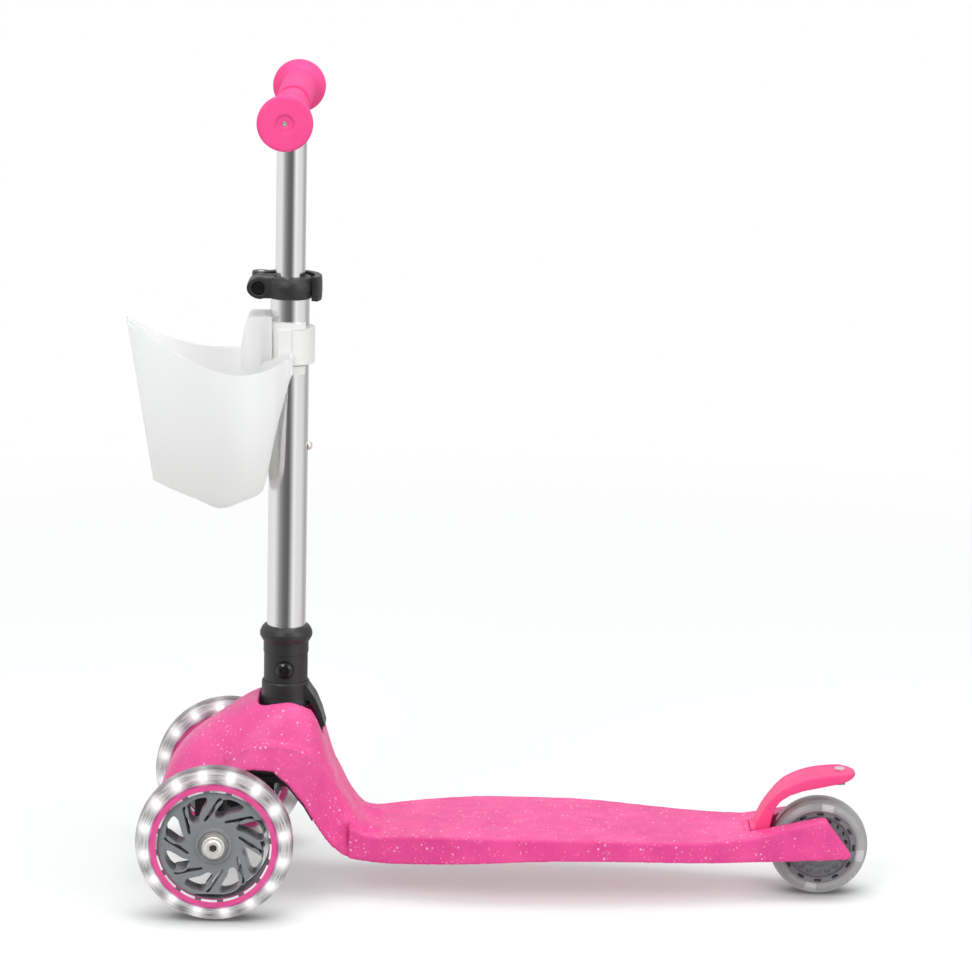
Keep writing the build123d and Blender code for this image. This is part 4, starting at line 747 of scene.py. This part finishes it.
def floor():
    """Pale floor that keeps the shadow, darkens near the scooter with a painted contact shadow, and fades
    into the white background.
    """
    bpy.ops.mesh.primitive_plane_add(size=8.0)
    plane = bpy.context.object
    plane.name = "floor"
    shader = Shader("floor", (0.93, 0.955, 0.95), 0.9, specular=0.0)
    distance = shader.node("ShaderNodeVectorMath", operation="LENGTH")
    shader.link(shader.point(), distance.inputs[0])
    fade = shader.ramp(distance.outputs["Value"], 0.0, 1.0, *FLOOR_CLEAR)
    path = shader.node("ShaderNodeLightPath")
    clear = shader.node("ShaderNodeBsdfTransparent")
    glow = shader.node("ShaderNodeEmission")
    # Painted contact shadow: ambient occlusion darkens the floor's colour and its glow close under the
    # scooter.
    painted_contact_shadow = shader.node("ShaderNodeAmbientOcclusion", samples=8)
    painted_contact_shadow.inputs["Distance"].default_value = SHADOW_REACH
    open_sky = shader.ramp(painted_contact_shadow.outputs["AO"], 0.2, 1.0, from_low=0.3, from_high=0.92)
    seen = shader.mix(path.outputs["Is Camera Ray"], (0.70, 0.71, 0.71), (0.92, 0.955, 0.95))
    shader.drive(shader.mix(open_sky, (0.16, 0.16, 0.16), seen), "Base Color")
    shader.link(shader.math("MULTIPLY", open_sky, 1.12), glow.inputs["Strength"])
    lift = shader.node("ShaderNodeMixShader")
    shader.link(shader.math("MULTIPLY", path.outputs["Is Camera Ray"], 0.32), lift.inputs[0])
    shader.link(shader.bsdf.outputs[0], lift.inputs[1])
    shader.link(glow.outputs[0], lift.inputs[2])
    mix = shader.node("ShaderNodeMixShader")
    shader.link(shader.math("MAXIMUM", fade, path.outputs["Is Glossy Ray"]), mix.inputs[0])
    shader.link(lift.outputs[0], mix.inputs[1])
    shader.link(clear.outputs[0], mix.inputs[2])
    shader.link(mix.outputs[0], shader.tree.nodes["Material Output"].inputs["Surface"])
    plane.data.materials.append(shader.material)


def area_light(name, spot, size, power):
    """Round lamp that looks at the middle of the scooter."""
    data = bpy.data.lights.new(name, "AREA")
    data.shape = "DISK"
    data.size = size
    data.energy = power
    lamp = in_scene(name, data)
    lamp.location = spot
    aim = Vector((0, 0, 0.25)) - Vector(spot)
    lamp.rotation_euler = aim.to_track_quat("-Z", "Y").to_euler()


def grey(tone):
    return (tone, tone, tone, 1)


def studio():
    """White background, even soft light, and softboxes with a dark gap for metal to reflect."""
    world = bpy.data.worlds.new("studio")
    bpy.context.scene.world = world
    world.use_nodes = True
    tree = world.node_tree
    background = tree.nodes["Background"]
    path = tree.nodes.new("ShaderNodeLightPath")
    direction = tree.nodes.new("ShaderNodeTexCoord")
    split = tree.nodes.new("ShaderNodeSeparateXYZ")
    tree.links.new(direction.outputs["Generated"], split.inputs[0])
    angle = tree.nodes.new("ShaderNodeMath")
    angle.operation = "ARCTAN2"
    tree.links.new(split.outputs["X"], angle.inputs[0])
    tree.links.new(split.outputs["Y"], angle.inputs[1])
    turn = tree.nodes.new("ShaderNodeMapRange")
    turn.inputs["From Min"].default_value = -pi
    turn.inputs["From Max"].default_value = pi
    tree.links.new(angle.outputs[0], turn.inputs["Value"])
    boxes = tree.nodes.new("ShaderNodeValToRGB")
    stops = boxes.color_ramp.elements
    for stop, position in zip(stops, (0.0, 1.0)):
        stop.position = position
        stop.color = grey(SOFTBOXES[0][1])
    for position, tone in SOFTBOXES[1:]:
        stops.new(position).color = grey(tone)
    tree.links.new(turn.outputs[0], boxes.inputs[0])
    soft = tree.nodes.new("ShaderNodeMix")
    soft.data_type = "RGBA"
    soft.inputs[MIX_A].default_value = grey(0.55)
    tree.links.new(path.outputs["Is Glossy Ray"], soft.inputs["Factor"])
    tree.links.new(boxes.outputs[0], soft.inputs[MIX_B])
    shown = tree.nodes.new("ShaderNodeMath")
    shown.operation = "MAXIMUM"
    tree.links.new(path.outputs["Is Camera Ray"], shown.inputs[0])
    tree.links.new(path.outputs["Is Transmission Ray"], shown.inputs[1])
    final = tree.nodes.new("ShaderNodeMix")
    final.data_type = "RGBA"
    final.inputs[MIX_B].default_value = grey(1.0)
    tree.links.new(shown.outputs[0], final.inputs["Factor"])
    tree.links.new(soft.outputs[MIX_RESULT], final.inputs[MIX_A])
    tree.links.new(final.outputs[MIX_RESULT], background.inputs["Color"])
    area_light("key", (1.2, 2.0, 2.2), 1.6, 32)
    area_light("top", (-0.3, 0.2, 2.6), 2.0, 26)
    area_light("fill", (-1.8, 1.6, 1.2), 1.6, 12)


# ---------------------------------------------------------------- the scene
dress_cad_nodes()
walls = filled("deck_body", at_seam(1), at_seam(-1))
softening = ((deck_softness, 12), (seam_softness, 16))
deck = remoulded("deck_body", 0.75 * MM, keep=0.18, source=walls, passes=softening)
place("deck_moulding", raised_band(deck), "deck_body")
slot_lip()
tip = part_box("brake_lever")[0].x + TIP_LENGTH
brake = remoulded("brake_lever", 0.6 * MM, 14, source=filled("brake_lever", lambda point: point.x < tip))
place("brake_moulding", brake, "brake_lever")
collar = remoulded("clamp_collar", 0.45 * MM, 5)
place("collar_moulding", bulged(collar, "clamp_collar", 1.6 * MM), "clamp_collar")
lever = remoulded("clamp_lever", 0.45 * MM, 5)
place("lever_moulding", bulged(lever, "clamp_lever", 0.5 * MM), "clamp_lever")
for wheel in ("left", "right"):
    about_axle(f"{wheel}_tyre", wheel)
    about_axle(f"{wheel}_ring", wheel)
    swirl_core(wheel)
    bolt_cap(wheel)
    grip_plug(wheel)
about_axle("rear_tyre", "rear")
camera()
floor()
studio()
bpy.context.scene.view_settings.view_transform = "Standard"
